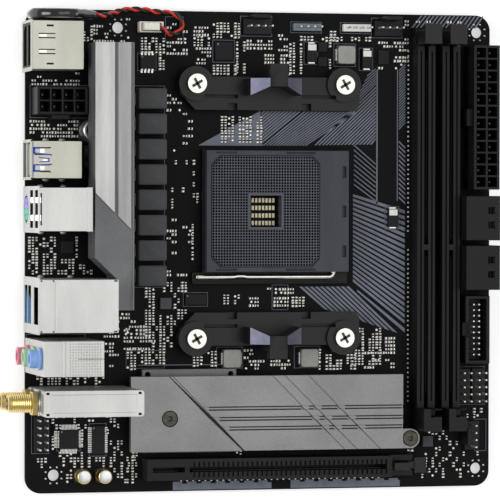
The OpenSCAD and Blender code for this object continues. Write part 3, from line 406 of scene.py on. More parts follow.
def smoothRoute(points, perSpan):
    # uniform cubic curve through the points: 0.5 (2b + (c-a)t + (2a-5b+4c-d)t^2 + (3b-a-3c+d)t^3)
    points = np.asarray(points, float)
    padded = np.vstack([points[:1], points, points[-1:]])
    t = np.linspace(0, 1, perSpan, endpoint=False)[:, None]
    a, b, c, d = (padded[i:len(points) - 1 + i][:, None, :] for i in range(4))
    curve = 0.5 * (2 * b + (c - a) * t + (2 * a - 5 * b + 4 * c - d) * t ** 2 +
                   (3 * b - a - 3 * c + d) * t ** 3)
    return np.vstack([curve.reshape(-1, 3), points[-1:]])


def sweep(path, radius, sides, turnWith=None):
    # a tube: at each path point a circle in the plane of two vectors at right angles to the path
    forward = np.gradient(path, axis=0)
    forward /= np.linalg.norm(forward, axis=1)[:, None]
    sideways = np.cross([0, 0, 1.0], forward)
    flat = np.linalg.norm(sideways, axis=1) < 1e-6
    sideways[flat] = (1, 0, 0)
    sideways /= np.linalg.norm(sideways, axis=1)[:, None]
    upward = np.cross(forward, sideways)
    angle = np.linspace(0, 2 * np.pi, sides, endpoint=False)
    radius = np.broadcast_to(np.asarray(radius, float), (len(path),))[:, None, None]
    ring = np.cos(angle)[None, :, None] * sideways[:, None] + np.sin(angle)[None, :, None] * upward[:, None]
    return skinRings(path[:, None] + radius * ring), sideways, upward


def makeLead():
    # each wire runs at half a wire's distance from the route, turned by 2 pi times length over the twist
    route = smoothRoute(lead["route"], lead["perSpan"])
    steps = np.linalg.norm(np.diff(route, axis=0), axis=1)
    length = np.concatenate([[0], np.cumsum(steps)])
    _, sideways, upward = sweep(route, 1, 4)
    parts = []
    for start in (0.0, np.pi):
        phase = (2 * np.pi * length / lead["twist"] + start)[:, None]
        strand = route + lead["wire"] / 2 * (np.cos(phase) * sideways + np.sin(phase) * upward)
        parts.append(sweep(strand, lead["wire"] / 2 * 0.98, lead["sides"])[0])
    points, faces = joinParts(parts)
    piece = addPiece("twisted_lead", points, faces, "redWire", replaced=("battery_lead",),
                     like="battery_lead", smoothAngle=50)
    piece.data.materials.append(finish["blackWire"])
    half = len(piece.data.polygons) // 2
    marks = np.zeros(len(piece.data.polygons), np.int32)
    marks[half:] = 1
    piece.data.polygons.foreach_set("material_index", marks)
    return piece, toFrame(route), length[-1]


leadPiece, leadPath, leadLength = makeLead()
print("lead made, length in mm:", round(leadLength, 1))


def paintFaces(piece, material, low, high):
    # faces whose middle lies in the box, in board millimetres, get the finish
    mesh = piece.data
    if finish[material].name not in mesh.materials:
        mesh.materials.append(finish[material])
    index = list(mesh.materials).index(finish[material])
    middle = np.zeros(len(mesh.polygons) * 3)
    mesh.polygons.foreach_get("center", middle)
    middle = (middle.reshape(-1, 3) - boardOrigin) / mm
    marks = np.zeros(len(mesh.polygons), np.int32)
    mesh.polygons.foreach_get("material_index", marks)
    marks[np.all((middle >= low) & (middle <= high), axis=1)] = index
    mesh.polygons.foreach_set("material_index", marks)


# Parts whose solids already have the right shape: finish and edge rounding in millimetres
ownShape = {
    "pcb": ("solderMask", 0.12), "backplate": ("powderCoat", 0.5), "backplate_film": ("blackFilm", 0.05),
    "bracket_upper": ("mouldedNylon", 0.45), "bracket_lower": ("mouldedNylon", 0.45),
    "socket_base": ("blackPort", 0.2), "socket_cover": ("socketPolymer", 0.22),
    "vrm_heatsink": ("darkAnodised", 0.35), "heatsink_trim": ("brushedStrip", 0.12),
    "thermal_pads": ("gapPad", 0.2), "mosfets": ("mouldingCompound", 0.1),
    "m2_cover": ("greyAnodised", 0.12),
    "m2_standoffs": ("turnedBrass", 0.15), "m2_socket": ("blackPort", 0.15),
    "chipset": ("packageLaminate", 0.08),
    "chipset_heatsink": ("darkAnodised", 0.3), "pcie_slot": ("blackPort", 0.2),
    "pcie_latch": ("mouldedNylon", 0.3),
    # slot contacts carry painted shade: tin darkened as if deep in the slot
    "slot_contacts": ("tinPaintedShade", 0.04), "dimm_slot_a": ("blackPort", 0.22),
    "dimm_slot_b": ("blackPort", 0.22),
    "dimm_latch_a": ("mouldedNylon", 0.3), "dimm_latch_b": ("mouldedNylon", 0.3),
    "main_power_socket": ("blackPort", 0.22), "cpu_power_socket": ("blackPort", 0.22),
    # power pins carry painted shade: tin darkened as if deep in the cells
    "power_pins": ("tinPaintedShade", 0.15), "sata_stack_a": ("blackPort", 0.3), "sata_stack_b": ("blackPort", 0.3),
    "usb3_header": ("blackPort", 0.25), "pin_headers": ("blackPort", 0.2),
    "header_pins": ("tinnedCopper", 0.12),
    "fan_headers": ("blackPort", 0.2), "led_headers": ("greyPolyester", 0.2),
    "coin_cell": ("nickelPlate", 0.2),
    "battery_plug": ("naturalNylon", 0.2), "battery_header": ("naturalNylon", 0.15),
    "video_shell": ("tinnedSheet", 0.12), "video_inserts": ("blackPort", 0.12),
    "usb_shell": ("tinnedSheet", 0.12), "usb_inserts": ("bluePort", 0.12),
    "ps2_shell": ("nickelSheet", 0.12),
    "ps2_inserts": ("blackPort", 0.12), "lan_shell": ("nickelSheet", 0.12),
    "lan_inserts": ("blackPort", 0.12),
    "audio_block": ("nickelSheet", 0.2), "audio_jacks": ("pinkPort", 0.3),
    "wifi_shield": ("nickelSheet", 0.25),
    "wifi_module": ("cardLaminate", 0.08), "board_components": ("mouldingCompound", 0.1),
}
shown = {node: softEdged(node, material, width) for node, (material, width) in ownShape.items()}

# Second colours within a part, by the box that holds the faces: (finish, low corner, high corner)
inserts = {
    "led_headers": [("whitePolyester", (112, 160, -1), (128, 170, 5))],
    "heatsink_trim": [("greyStrip", (28.3, 90, 20), (34, 160, 26))],
    # painted sheen on the sloping facets of the upper bracket: bright on the left facet, dim on the right
    "bracket_upper": [("facetPaintedSheen", (77.9, 100, 15.2), (83.5, 170, 18.6)),
                      ("facetPaintedDimSheen", (90.3, 100, 15.2), (95.9, 170, 18.6))],
    # painted sheen on the sloping facets of the lower bracket: bright on the left facet, dim on the right
    "bracket_lower": [("facetPaintedSheen", (77.9, 30, 15.2), (83.5, 100, 18.6)),
                      ("facetPaintedDimSheen", (90.3, 30, 15.2), (95.9, 100, 18.6))],
    "lan_inserts": [("skyPort", (-1, 56, 0), (21, 76, 15.3))],
    "audio_jacks": [("palePort", (-6, 40, 14), (1, 56, 24)), ("lineInPort", (-6, 40, 26), (1, 56, 36))],
    "chipset": [("mouldingCompound", (56, 22, 1.25), (72, 35, 1.8))],
    "wifi_module": [("tinnedSheet", (9, 31, 8), (27, 32.79, 25)),
                    ("blackPort", (5, 30, -1), (31, 36, 2.3))],
    "board_components": [("pressedPowder", (x0, y0, -1), (x1, y1, 4)) for x0, x1, y0, y1 in
                         [(112, 119.4, 151, 159), (70, 78, 43, 51), (98, 106, 43, 51), (144, 149, 14, 19),
                          (47, 53, 64, 69)]],
}
for node, boxes in inserts.items():
    for material, low, high in boxes:
        paintFaces(shown[node], material, low, high)
print("carried-over parts finished:", len(shown))


# Pin field: one small block per contact with a funnel and a blind round hole, packed side by side
pinField = {"pitch": 1.0, "reach": 19, "corner": 35.6, "window": 6.6, "hole": 0.39, "funnel": 0.43,
            "depth": 0.65}


def makePinField():
    # rings of 8 points: block foot, block top, funnel edge, hole edge, hole foot
    low, high = boardBox("socket_cover")
    middle = np.array([low[0] + 21.5, (low[1] + high[1]) / 2, 0])
    step = np.arange(-pinField["reach"], pinField["reach"] + 1)
    gridX, gridY = (a.ravel() for a in np.meshgrid(step, step))
    kept = (np.abs(gridX) + np.abs(gridY) <= pinField["corner"]) & \
           (np.maximum(np.abs(gridX), np.abs(gridY)) > pinField["window"])
    centres = np.column_stack([gridX[kept], gridY[kept], np.zeros(kept.sum())]) * pinField["pitch"] + middle
    angle = np.arange(8) * np.pi / 4
    circle = np.column_stack([np.cos(angle), np.sin(angle)])
    square = np.sign(np.round(circle, 3)) * 0.5
    top = high[2] - 0.06
    levels = [(square, top - 0.8), (square, top), (circle * pinField["funnel"], top),
              (circle * pinField["hole"], top - 0.12),
              (circle * pinField["hole"] * 0.9, top - pinField["depth"])]
    rings = np.array([np.column_stack([outline, np.full(8, z)]) for outline, z in levels])
    points, faces = skinRings(centres[:, None, None] + rings[None])
    rimOuter, rimInner = 6.45, 5.62
    outlines = [[(-rimOuter, -rimOuter), (rimOuter, -rimOuter), (rimOuter, -rimInner),
                 (-rimOuter, -rimInner)],
                [(-rimOuter, rimInner), (rimOuter, rimInner), (rimOuter, rimOuter), (-rimOuter, rimOuter)],
                [(-rimOuter, -rimInner), (-rimInner, -rimInner), (-rimInner, rimInner),
                 (-rimOuter, rimInner)],
                [(rimInner, -rimInner), (rimOuter, -rimInner), (rimOuter, rimInner), (rimInner, rimInner)]]
    rim = slabs([np.array(outline) + middle[:2] for outline in outlines], top - 0.8, high[2])
    points, faces = joinParts([(points, faces), rim])
    field = addPiece("socket_pin_field", points, faces, "contactLand", body="cover", like="socket_cover")
    paintFaces(field, "holeShade", (0, 0, top - 1), (170, 170, top - 0.1))


makePinField()
print("pin field made")


# Legend ink. Stripes run between two edges: stripe i joins the same share t to t + fill/count of both edges
legend = {
    "thickness": 0.03,
    "fans": [  # first edge from, to; second edge from, to; stripes; share inked
        ((85, 134.2), (85, 122.7), (85.8, 134.8), (100, 134.8), 10, 0.66),
        ((85.4, 122.6), (102, 122.6), (100.6, 134.8), (121, 134.8), 14, 0.58),
        ((104.5, 122.8), (126.4, 123.2), (127.3, 144), (127.3, 124.4), 16, 0.55),
        ((118.6, 136.4), (124.6, 149), (127.3, 144.8), (127.3, 151), 7, 0.5),
        ((119.2, 123.2), (119.2, 107.4), (127.3, 116.4), (127.3, 101.6), 9, 0.3),
        ((118.9, 105.4), (118.9, 73.4), (138.2, 99.6), (138.2, 58), 20, 0.6),
        ((99, 72.3), (118.2, 72.3), (108.4, 64.2), (136.6, 55.2), 10, 0.62),
        ((120.5, 71.2), (120.5, 70), (138.2, 57.2), (138.2, 54.6), 1, 0.6),
        ((135.9, 150), (135.9, 128), (138.3, 152.4), (138.3, 130.4), 22, 0.5),
        ((135.9, 124.6), (135.9, 103), (138.3, 122.4), (138.3, 100.8), 13, 0.4),
        ((140.5, 165.3), (165.5, 165.3), (144, 169.7), (168.6, 169.7), 16, 0.45),
    ],
    "solids": [
        [(62, 122.5), (85.6, 122.5), (84.6, 134.9)],
        [(127.5, 101.4), (128, 101.4), (128, 150), (127.5, 150)],
        [(135.2, 103), (135.5, 103), (135.5, 150), (135.2, 150)],
        [(53, 0.4), (89, 0.4), (89, 2.6), (53, 2.6)],
        [(96, 0.4), (136.5, 0.4), (136.5, 2.6), (96, 2.6)],
        [(40.4, 44.6), (75.6, 44.6), (75.6, 44.9), (40.4, 44.9)],
    ],
    "frames": [  # x from, to; y from, to
        (0.4, 21.5, 44, 56), (77.3, 88.9, 161.4, 168.6), (125.5, 137, 161.4, 168.6),
        (95.7, 107.2, 162.8, 166.8), (114, 125.6, 162.8, 166.8), (157, 168.4, 29.4, 43.2),
        (164.6, 169, 12.6, 24.2), (2.2, 8.5, 14, 27.8), (38.6, 49.9, 72.2, 143.5),
        (11.2, 19.7, 14.8, 23.2), (22.8, 29, 12.8, 24.4), (67.2, 75.2, 152, 160), (40, 46.8, 148.7, 155),
        (56.6, 65.6, 65.4, 70.4), (100.6, 105.8, 151.6, 159.8), (121, 126.2, 149.6, 157.8),
        (130.8, 136, 92.8, 101), (111.6, 119.8, 151, 159.2), (68.8, 78.4, 43.2, 51),
        (97.2, 106.8, 43.2, 51), (1.6, 23.2, 131.8, 143.4), (50, 56.6, 158.8, 168), (89, 95, 64, 73),
        (36, 50, 43.6, 50),
    ],
    "frameLine": 0.16, "teeth": ((53, 86), (96, 133)), "toothPitch": 5.2,
}


def fanOutlines(row):
    firstFrom, firstTo, secondFrom, secondTo, count, fill = row
    share = (np.arange(count)[:, None] + np.array([0, fill])[None]) / count
    first = np.array(firstFrom) + share[..., None] * (np.array(firstTo) - firstFrom)
    second = np.array(secondFrom) + share[..., None] * (np.array(secondTo) - secondFrom)
    quads = np.stack([first[:, 0], second[:, 0], second[:, 1], first[:, 1]], 1)
    cross = np.cross(quads[:, 1] - quads[:, 0], quads[:, 2] - quads[:, 0])
    return np.where((cross > 0)[:, None, None], quads, quads[:, ::-1])


def frameOutlines(box, line):
    x0, x1, y0, y1 = box
    return [[(x0, y0), (x1, y0), (x1, y0 + line), (x0, y0 + line)],
            [(x0, y1 - line), (x1, y1 - line), (x1, y1), (x0, y1)],
            [(x0, y0 + line), (x0 + line, y0 + line), (x0 + line, y1 - line), (x0, y1 - line)],
            [(x1 - line, y0 + line), (x1, y0 + line), (x1, y1 - line), (x1 - line, y1 - line)]]


def makeLegend():
    outlines = [quad for row in legend["fans"] for quad in fanOutlines(row)] + list(legend["solids"])
    teeth = [x for start, stop in legend["teeth"] for x in np.arange(start, stop, legend["toothPitch"])]
    outlines += [[(x, 2.6), (x + 3.4, 2.6), (x + 3.4, 3.3), (x, 3.3)] for x in teeth]
    for box in legend["frames"]:
        outlines += frameOutlines(box, legend["frameLine"])
    points, faces = slabs(outlines, 0.004, legend["thickness"])
    addPiece("board_legend", points, faces, "legendInk", like="led_headers")


makeLegend()
print("legend printed")


# Small parts in groups: a seeded grid of places, each kept only where nothing else stands
smallParts = {
    "groups": [  # x from, to, y from, to; share of places used
        (60, 65.7, 161, 166, 0.9), (60, 66, 157.5, 160.5, 0.9), (61, 66, 151, 158, 0.8),
        (67, 80, 160.5, 167, 0.85), (67, 75.5, 147.5, 152, 0.85), (75.5, 79.5, 148, 159, 0.85),
        (79.5, 89.5, 156.5, 162, 0.8), (91, 94, 156, 162, 0.8), (95, 100, 148, 160, 0.8),
        (70, 86, 123.4, 132.6, 0.9), (87, 89, 71, 73, 1), (89.5, 96.5, 69.5, 72, 1),
        (80.5, 84.5, 65, 70.5, 1), (71, 78, 66, 70.5, 0.95), (89.5, 95, 65, 69, 1),
        (96, 101.5, 65, 69, 1), (59.4, 62.6, 81.3, 94.2, 1), (42.6, 58, 51, 73.6, 0.75),
        (35, 47, 50, 60, 0.8), (0.8, 23.8, 74.8, 90, 0.7), (1.4, 19.7, 124.8, 130.7, 0.9),
        (2, 20, 143, 148, 0.85), (19, 24, 147, 166, 0.8), (41, 50, 149, 161.4, 0.8),
        (50.4, 57.4, 153, 168, 0.6), (3.8, 28.5, 38, 41.4, 0.85), (4, 40, 3, 27.6, 0.5),
        (36, 50, 43, 50, 0.85), (118, 130, 44, 58, 0.85), (156.8, 160, 104, 160, 0.35),
        (128, 140, 150, 168, 0.75), (107, 115, 150, 162, 0.7), (99, 104, 160, 167, 0.7),
        (143, 168, 3, 29, 0.4), (38, 80, 12.4, 14.2, 0.9), (60, 69, 44, 50, 0.85),
        (106, 120, 42.4, 51, 0.85), (78.6, 97, 42.6, 51, 0.6), (86, 100, 147.6, 156, 0.6),
        (22, 40, 44, 64, 0.45), (50.4, 60, 76, 100, 0.25), (50.4, 60, 120, 146, 0.25),
        (52, 62, 100, 120, 0.2), (19, 27.6, 90, 116, 0.45), (24, 38, 158.4, 168, 0.5),
        (130, 142, 3, 14, 0.4), (36, 44, 3, 12, 0.4), (123, 135.4, 42.6, 56, 0.7),
        (110, 126, 160, 163, 0.6), (140, 160, 159, 168, 0.3),
    ],
    "pitch": (1.95, 1.3), "seed": 11,
    "sizes": {"small": (1.25, 0.55, 0.5), "medium": (1.5, 0.75, 0.7)},
}


def makeProbe():
    # everything that stands on the board, for a look straight down
    points, triangles, start = [], [], 0
    for name, node in nodes.items():
        if name in ("pcb", "battery_lead", "backplate", "backplate_film", "solder_tails"):
            continue
        mesh = node.data
        mesh.calc_loop_triangles()
        place = np.zeros(len(mesh.vertices) * 3)
        mesh.vertices.foreach_get("co", place)
        corners = np.zeros(len(mesh.loop_triangles) * 3, np.int32)
        mesh.loop_triangles.foreach_get("vertices", corners)
        points.append(place.reshape(-1, 3))
        triangles.append(corners.reshape(-1, 3) + start)
        start += len(mesh.vertices)
    return BVHTree.FromPolygons(np.vstack(points).tolist(), np.vstack(triangles).tolist())


probe = makeProbe()
holes = [(10.16, 6.35, 4.6), (165.1, 6.35, 4.6), (33.02, 163.83, 4.6), (165.1, 163.83, 4.6)]
leadRoute = smoothRoute(lead["route"], 3)[:, :2]


def standsFree(x, y, reachX, reachY):
    # true where rays down at the middle and corners of the footprint meet nothing over the board
    if min(x, y, 170 - x, 170 - y) < 1.2 or \
            any((x - hx) ** 2 + (y - hy) ** 2 < r * r for hx, hy, r in holes):
        return False
    if np.min(np.hypot(leadRoute[:, 0] - x, leadRoute[:, 1] - y)) < 1.9:
        return False
    for sx, sy in ((0, 0), (-1, -1), (1, -1), (-1, 1), (1, 1), (0, 1), (0, -1), (1, 0), (-1, 0)):
        start = toFrame((x + sx * reachX, y + sy * reachY, 60))
        place = probe.ray_cast(Vector(start), Vector((0, 0, -1)), 0.0615)[0]
        if place is not None:
            return False
    return True


def scatterPlaces():
    # grid places of every group; the kind and the turn are drawn from a seeded generator
    draw = np.random.default_rng(smallParts["seed"])
    stepX, stepY = smallParts["pitch"]
    rows, used = [], set()
    for x0, x1, y0, y1, share in smallParts["groups"]:
        across = draw.random() < 0.5
        stepA, stepB = (stepX, stepY) if across else (stepY, stepX)
        for x in np.arange(x0 + stepA / 2, x1, stepA):
            for y in np.arange(y0 + stepB / 2, y1, stepB):
                kind = draw.random()
                if draw.random() > share or (round(x / 1.6), round(y / 1.6)) in used:
                    continue
                if standsFree(x, y, 0.95, 0.95):
                    used.add((round(x / 1.6), round(y / 1.6)))
                    rows.append((x, y, across, kind))
    return rows


def partBlocks(rows, size, across):
    # bodies and both end caps of two-ended parts lying along X (across) or along Y
    length, width, height = size
    centre = np.array([(x, y, 0.0) for x, y in rows]).reshape(-1, 3)
    half = np.array([length / 2, width / 2, 0]) if across else np.array([width / 2, length / 2, 0])
    along = np.array([1, 0, 0]) if across else np.array([0, 1, 0])
    capLength = length * 0.3
    inner = half - along * capLength
    up = np.array([0, 0, height])
    body = blocks(centre - inner + (0, 0, 0.03), centre + inner + up * 0.94, 0.04)
    lows = np.vstack([centre - half, centre - half + along * (2 * half - capLength)])
    highs = lows + np.where(along, capLength, 2 * half) + up
    caps = blocks(lows, highs, 0.06)
    pads = blocks(lows * (1, 1, 0) - 0.1 * (1 - along) * (1, 1, 0) -
                  along * (0.14, 0.14, 0) + (0, 0, 0.005),
                  highs * (1, 1, 0) + (0.02, 0.02, 0.05))
    return body, caps, pads


def makeSmallParts():
    rows = scatterPlaces()
    bodies, caps, pads, chips, dots = [], [], [], [], []
    for across in (True, False):
        for kind, low, high in (("small", 0.0, 0.5), ("medium", 0.5, 0.86)):
            places = [(x, y) for x, y, turned, draw in rows if turned == across and low <= draw < high]
            if places:
                body, cap, pad = partBlocks(places, smallParts["sizes"][kind], across)
                (bodies if kind == "medium" or across else chips).append(body)
                caps.append(cap)
                pads.append(pad)
    points = [(x, y) for x, y, turned, draw in rows if draw >= 0.86]
    disc = [(0.45, 0.0), (0.45, 0.05), (0.3, 0.1), (0.02, 0.12)]
    for x, y in points:
        dots.append(lathe((x, y, 0), "+z", disc, 10))
    addPiece("chip_capacitors", *joinParts(bodies), "sinteredCeramic", like="socket_capacitors")
    addPiece("chip_resistors", *joinParts(chips), "mouldingCompound", like="mosfets")
    addPiece("chip_terminals", *joinParts(caps), "tinnedCopper", like="solder_tails")
    addPiece("solder_lands", *joinParts(pads + dots), "tinnedCopper", like="solder_tails")
    return len(rows)


print("small parts placed:", makeSmallParts())


# Solder dots: rings of eight round each mounting hole, rows beside the memory slots and the long slot
solderDots = {"ringRadius": 3.05, "rows": (139.5, 148.8), "pitch": 1.7, "slotPitch": 2.2,
              "disc": [(0.34, 0.0), (0.34, 0.06), (0.26, 0.14), (0.1, 0.19), (0.02, 0.2)]}


def makeSolderDots():
    centres = []
    for x, y, _ in holes:
        angle = np.radians(22.5 + 45 * np.arange(8))
        centres += list(np.column_stack([x + solderDots["ringRadius"] * np.cos(angle),
                                         y + solderDots["ringRadius"] * np.sin(angle)]))
    for x in solderDots["rows"]:
        centres += [(x, y) for y in np.arange(31, 157.5, solderDots["pitch"]) if not 86 < y < 92]
    centres += [(x, 3.7) for x in np.arange(56, 130, solderDots["slotPitch"])]
    centres += [(x, y) for x in (1.2, 21.4) for y in (58.5, 74, 92.8, 106.8)]
    parts = [lathe((x, y, 0), "+z", solderDots["disc"], 10) for x, y in centres]
    addPiece("solder_dots", *joinParts(parts), "tinnedCopper", like="solder_tails", smoothAngle=40)


makeSolderDots()
print("solder dots made")


# Socket lever: a bent wire with two small jogs, a round free end and the cam shaft
lever = {"radius": 0.95, "jog": 0.3, "bend": 1.6, "sides": 16}


def makeLever():
    low, high = boardBox("socket_lever")
    radius = lever["radius"]
    pivotX, armY, z = high[0] - radius, low[1] + radius, (low[2] + high[2]) / 2
    reach = np.array([low[0], low[0] + 0.15, low[0] + 0.5, low[0] + 1.2, low[0] + 14, low[0] + 15.5,
                      low[0] + 17.5, low[0] + 19, low[0] + 45, pivotX - 3.2, pivotX - lever["bend"]])
    jog = np.array([0, 0, 0, 0, 0, lever["jog"], lever["jog"], 0, 0, 0, 0])
    arm = np.column_stack([reach, armY + jog, np.full(len(reach), z)])
    angle = np.radians([18, 36, 54, 72, 90])
    bend = np.column_stack([pivotX - lever["bend"] * (1 - np.sin(angle)),
                            armY + lever["bend"] * (1 - np.cos(angle)),
                            np.full(5, z)])
    shaft = np.array([[pivotX, armY + 8, z], [pivotX, high[1] - 0.5, z], [pivotX, high[1], z]])
    path = np.vstack([arm, bend, shaft])
    thickness = np.full(len(path), radius)
    thickness[:4] = radius * np.array([0.3, 0.62, 0.9, 1])
    thickness[-1] = radius * 0.7
    (points, faces), _, _ = sweep(path, thickness, lever["sides"])
    addPiece("socket_lever_wire", points, faces, "nickelPlate", body="lever", replaced=("socket_lever",),
             like="socket_lever", smoothAngle=50)


# Painted shade: dark bars laid in the cross recess of each screw head
screwCross = {"headRadius": 3.4, "halfLength": 2.1, "halfWidth": 0.5, "turns": (30, 120)}


def makeScrewCrossShade():
    # two dark bars at right angles in the recess of each head: painted shade in the cross
    low, high = boardBox("bracket_screws")
    head, halfLength, halfWidth = screwCross["headRadius"], screwCross["halfLength"], screwCross["halfWidth"]
    outlines = []
    for x in (low[0] + head, high[0] - head):
        for y in (low[1] + head, high[1] - head):
            for angle in np.radians(screwCross["turns"]):
                along = np.array([np.cos(angle), np.sin(angle)])
                across = np.array([-np.sin(angle), np.cos(angle)])
                outlines.append([np.array([x, y]) + along * halfLength * a + across * halfWidth * b
                                 for a, b in ((-1, -1), (1, -1), (1, 1), (-1, 1))])
    points, faces = slabs(outlines, high[2] - 0.5, high[2] - 0.3)
    addPiece("screw_cross_painted_shade", points, faces, "blackZinc", like="bracket_screws")


makeLever()
makeScrewCrossShade()
for node, material, width in (("bracket_screws", "nickelPlate", 0.25),
                              ("heatsink_screws", "nickelPlate", 0.2),
                              ("m2_cover_screws", "blackZinc", 0.2),
                              ("socket_capacitors", "paleCeramic", 0.1)):
    shown[node] = softEdged(node, material, width)
nodes["solder_tails"].data.materials.clear()
nodes["solder_tails"].data.materials.append(finish["tinnedCopper"])
print("lever and screws made")


# Power inductors: pressed block with a chamfered crown, on tinned side clips
choke = {"half": (5.1, 3.6), "height": 7.0, "corner": 0.7, "clipWidth": 4.4}


def makeChokes():
    low, high = boardBox("chokes")
    count = 8
    pitch = (high[1] - low[1] - 2 * choke["half"][1]) / (count - 1)
    centres = [((low[0] + high[0]) / 2, low[1] + choke["half"][1] + i * pitch, 0) for i in range(count)]
    levels = [(0.3, 0.25), (0.55, 0), (choke["height"] - 0.5, 0), (choke["height"] - 0.12, 0.28),
              (choke["height"], 0.5)]
    addPiece("inductor_bodies", *roundedBlocks(centres, choke["half"], levels, choke["corner"], 4),
             "pressedPowder", replaced=("chokes",), like="chokes", smoothAngle=30)
    centres = np.array(centres)
    half, clip = choke["half"][0], choke["clipWidth"] / 2
    lows = np.vstack([centres + (-half + 0.9, -3.3, 0), centres + (half - 2.9, -3.3, 0)])
    highs = lows + (2, 6.6, 0.32)
    clips = blocks(lows, highs, 0.05)
    sides = blocks(np.vstack([centres + (-half - 0.18, -clip, 0), centres + (half - 0.02, -clip, 0)]),
                   np.vstack([centres + (-half + 0.02, clip, 1.6), centres + (half + 0.18, clip, 1.6)]),
                   0.05)
    addPiece("inductor_clips", *joinParts([clips, sides]), "tinnedCopper", like="solder_tails")


makeChokes()


# Polymer cans: beaded foot, drawn wall, rolled shoulder and a dark printed top
cans = {"big": [(23, 127.4), (24.8, 118.4)], "small": [(19.9, 6.1), (27.4, 6.1)], "shoulder": 0.55}


def canProfile(radius, height):
    # a turned outline: foot, bead groove at a seventh of the height, wall, quarter-round shoulder, top
    turn = np.radians([0, 30, 60, 90])
    curve = cans["shoulder"]
    shoulder = [(radius - curve * (1 - np.cos(a)), height - curve + curve * np.sin(a)) for a in turn]
    return [(0.05, 0.9), (radius - 0.5, 0.9), (radius, 1.2), (radius, 1.7), (radius - 0.3, 2.0),
            (radius - 0.3, 2.2), (radius, 2.5)] + shoulder + \
           [(radius - 1.1, height), (radius - 1.2, height - 0.06), (0.05, height - 0.06)]


def makeCans():
    walls, tops, feet = [], [], []
    for group, radius, height in (("big", 4.0, 8.6), ("small", 2.5, 7.0)):
        for x, y in cans[group]:
            walls.append(lathe((x, y, 0), "+z", canProfile(radius, height), 36))
            dark = radius - 1.25 if group == "big" else radius * 0.3
            angle = np.radians(np.linspace(0, 360, 40, endpoint=False) if group == "big"
                               else np.linspace(60, 150, 12))
            tops.append(np.column_stack([x + dark * np.cos(angle), y + dark * np.sin(angle)]))
            feet.append(roundedBlocks([(x, y, 0)], (radius + 0.15, radius + 0.15),
                                      [(0, 0.1), (0.1, 0), (0.85, 0), (0.95, 0.15)], 1.2, 4))
    addPiece("can_walls", *joinParts(walls[:2]), "drawnCan", replaced=("bulk_capacitors",),
             like="bulk_capacitors", smoothAngle=40)
    addPiece("audio_can_walls", *joinParts(walls[2:]), "goldPlate", like="bulk_capacitors", smoothAngle=40)
    lids = [lathe((x, y, 0), "+z", [(2.1, 6.9), (2.1, 7.02), (1.9, 7.08), (0.05, 7.1)], 32)
            for x, y in cans["small"]]
    addPiece("audio_can_lids", *joinParts(lids), "drawnCan", like="bulk_capacitors", smoothAngle=40)
    addPiece("can_feet", *joinParts(feet), "mouldedNylon", like="bracket_upper", smoothAngle=40)
    points, faces = slabs(tops[:2], 8.5, 8.57)
    addPiece("can_tops", points, faces, "blackPort", like="mosfets")


makeCans()
print("inductors and cans made")


# Heatsink trim: fine ribs beside the bright strips, and a dark edge
sinkRibs = {"ribs": ((27.3, 27.5), (28.1, 28.3), (33.15, 33.35), (33.75, 34.0)), "height": 0.45}


def makeSinkRibs():
    low, high = boardBox("vrm_heatsink")
    lows, highs = [], []
    for x0, x1 in sinkRibs["ribs"]:
        start = low[1] + 0.5 if x0 > 33 else 126 - x0
        lows.append((x0, start, high[2] - 0.1))
        highs.append((x1, high[1] - 0.3, high[2] + sinkRibs["height"]))
    addPiece("heatsink_ribs", *blocks(lows, highs, 0.06), "greyAnodised", like="vrm_heatsink")


makeSinkRibs()


# Clock battery sleeve: rings along X, tall as the cell's chord, thin as the cell, drawn in to the lead
sleeve = {"rings": 44, "sides": 40, "ripple": 0.12}


def makeSleeve():
    low, high = boardBox("cell_sleeve")
    middleY, halfY = (low[1] + high[1]) / 2, (high[1] - low[1]) / 2
    radius = (high[2] - low[2]) / 2
    centreX, centreZ = low[0] + radius, (low[2] + high[2]) / 2
    share = (1 - np.cos(np.linspace(0, np.pi, sleeve["rings"]))) / 2
    x = low[0] + 0.02 + share * (high[0] - low[0] - 0.02)
    chord = np.sqrt(np.clip(radius ** 2 - (x - centreX) ** 2, 0, None))
    tailShare = np.clip((x - centreX - 6) / (high[0] - centreX - 6), 0, 1)
    upper = np.where(x > centreX + 6, 8.4 * (1 - tailShare) + 0.9 * tailShare, chord)
    lower = np.where(x > centreX + 6, 8.4 * (1 - tailShare) + 2.6 * tailShare, chord)
    thin = halfY * np.clip(np.sqrt(np.clip((x - low[0]) / 1.6, 0, 1)), 0.1, 1) * (1 - 0.42 * tailShare ** 2)
    angle = np.linspace(0, 2 * np.pi, sleeve["sides"], endpoint=False)
    c, s = np.cos(angle), np.sin(angle)
    flatC, flatS = np.sign(c) * np.abs(c) ** 0.35, np.sign(s) * np.abs(s) ** 0.8
    ripple = sleeve["ripple"] * 0.25 * np.sin(5 * angle)[None]
    wave = 1 + ripple * np.sin(x * 0.9)[:, None] * (tailShare > 0)[:, None]
    y = middleY + thin[:, None] * flatC[None] * wave
    z = centreZ + np.where(s > 0, upper[:, None], lower[:, None]) * flatS[None]
    rings = np.stack([np.broadcast_to(x[:, None], y.shape), y, z], -1)[:, ::-1]
    points, faces = skinRings(rings)
    addPiece("battery_sleeve", points, faces, "shrinkSleeve", replaced=("cell_sleeve",),
             like="cell_sleeve", smoothAngle=60)


makeSleeve()
print("battery sleeve made")


# Threaded antenna connectors: thread profile turned about X, hexagon nut and two washers
antenna = {"pitch": 0.72, "depth": 0.22, "radius": 3.17, "turns": 11, "heights": (10, 25)}


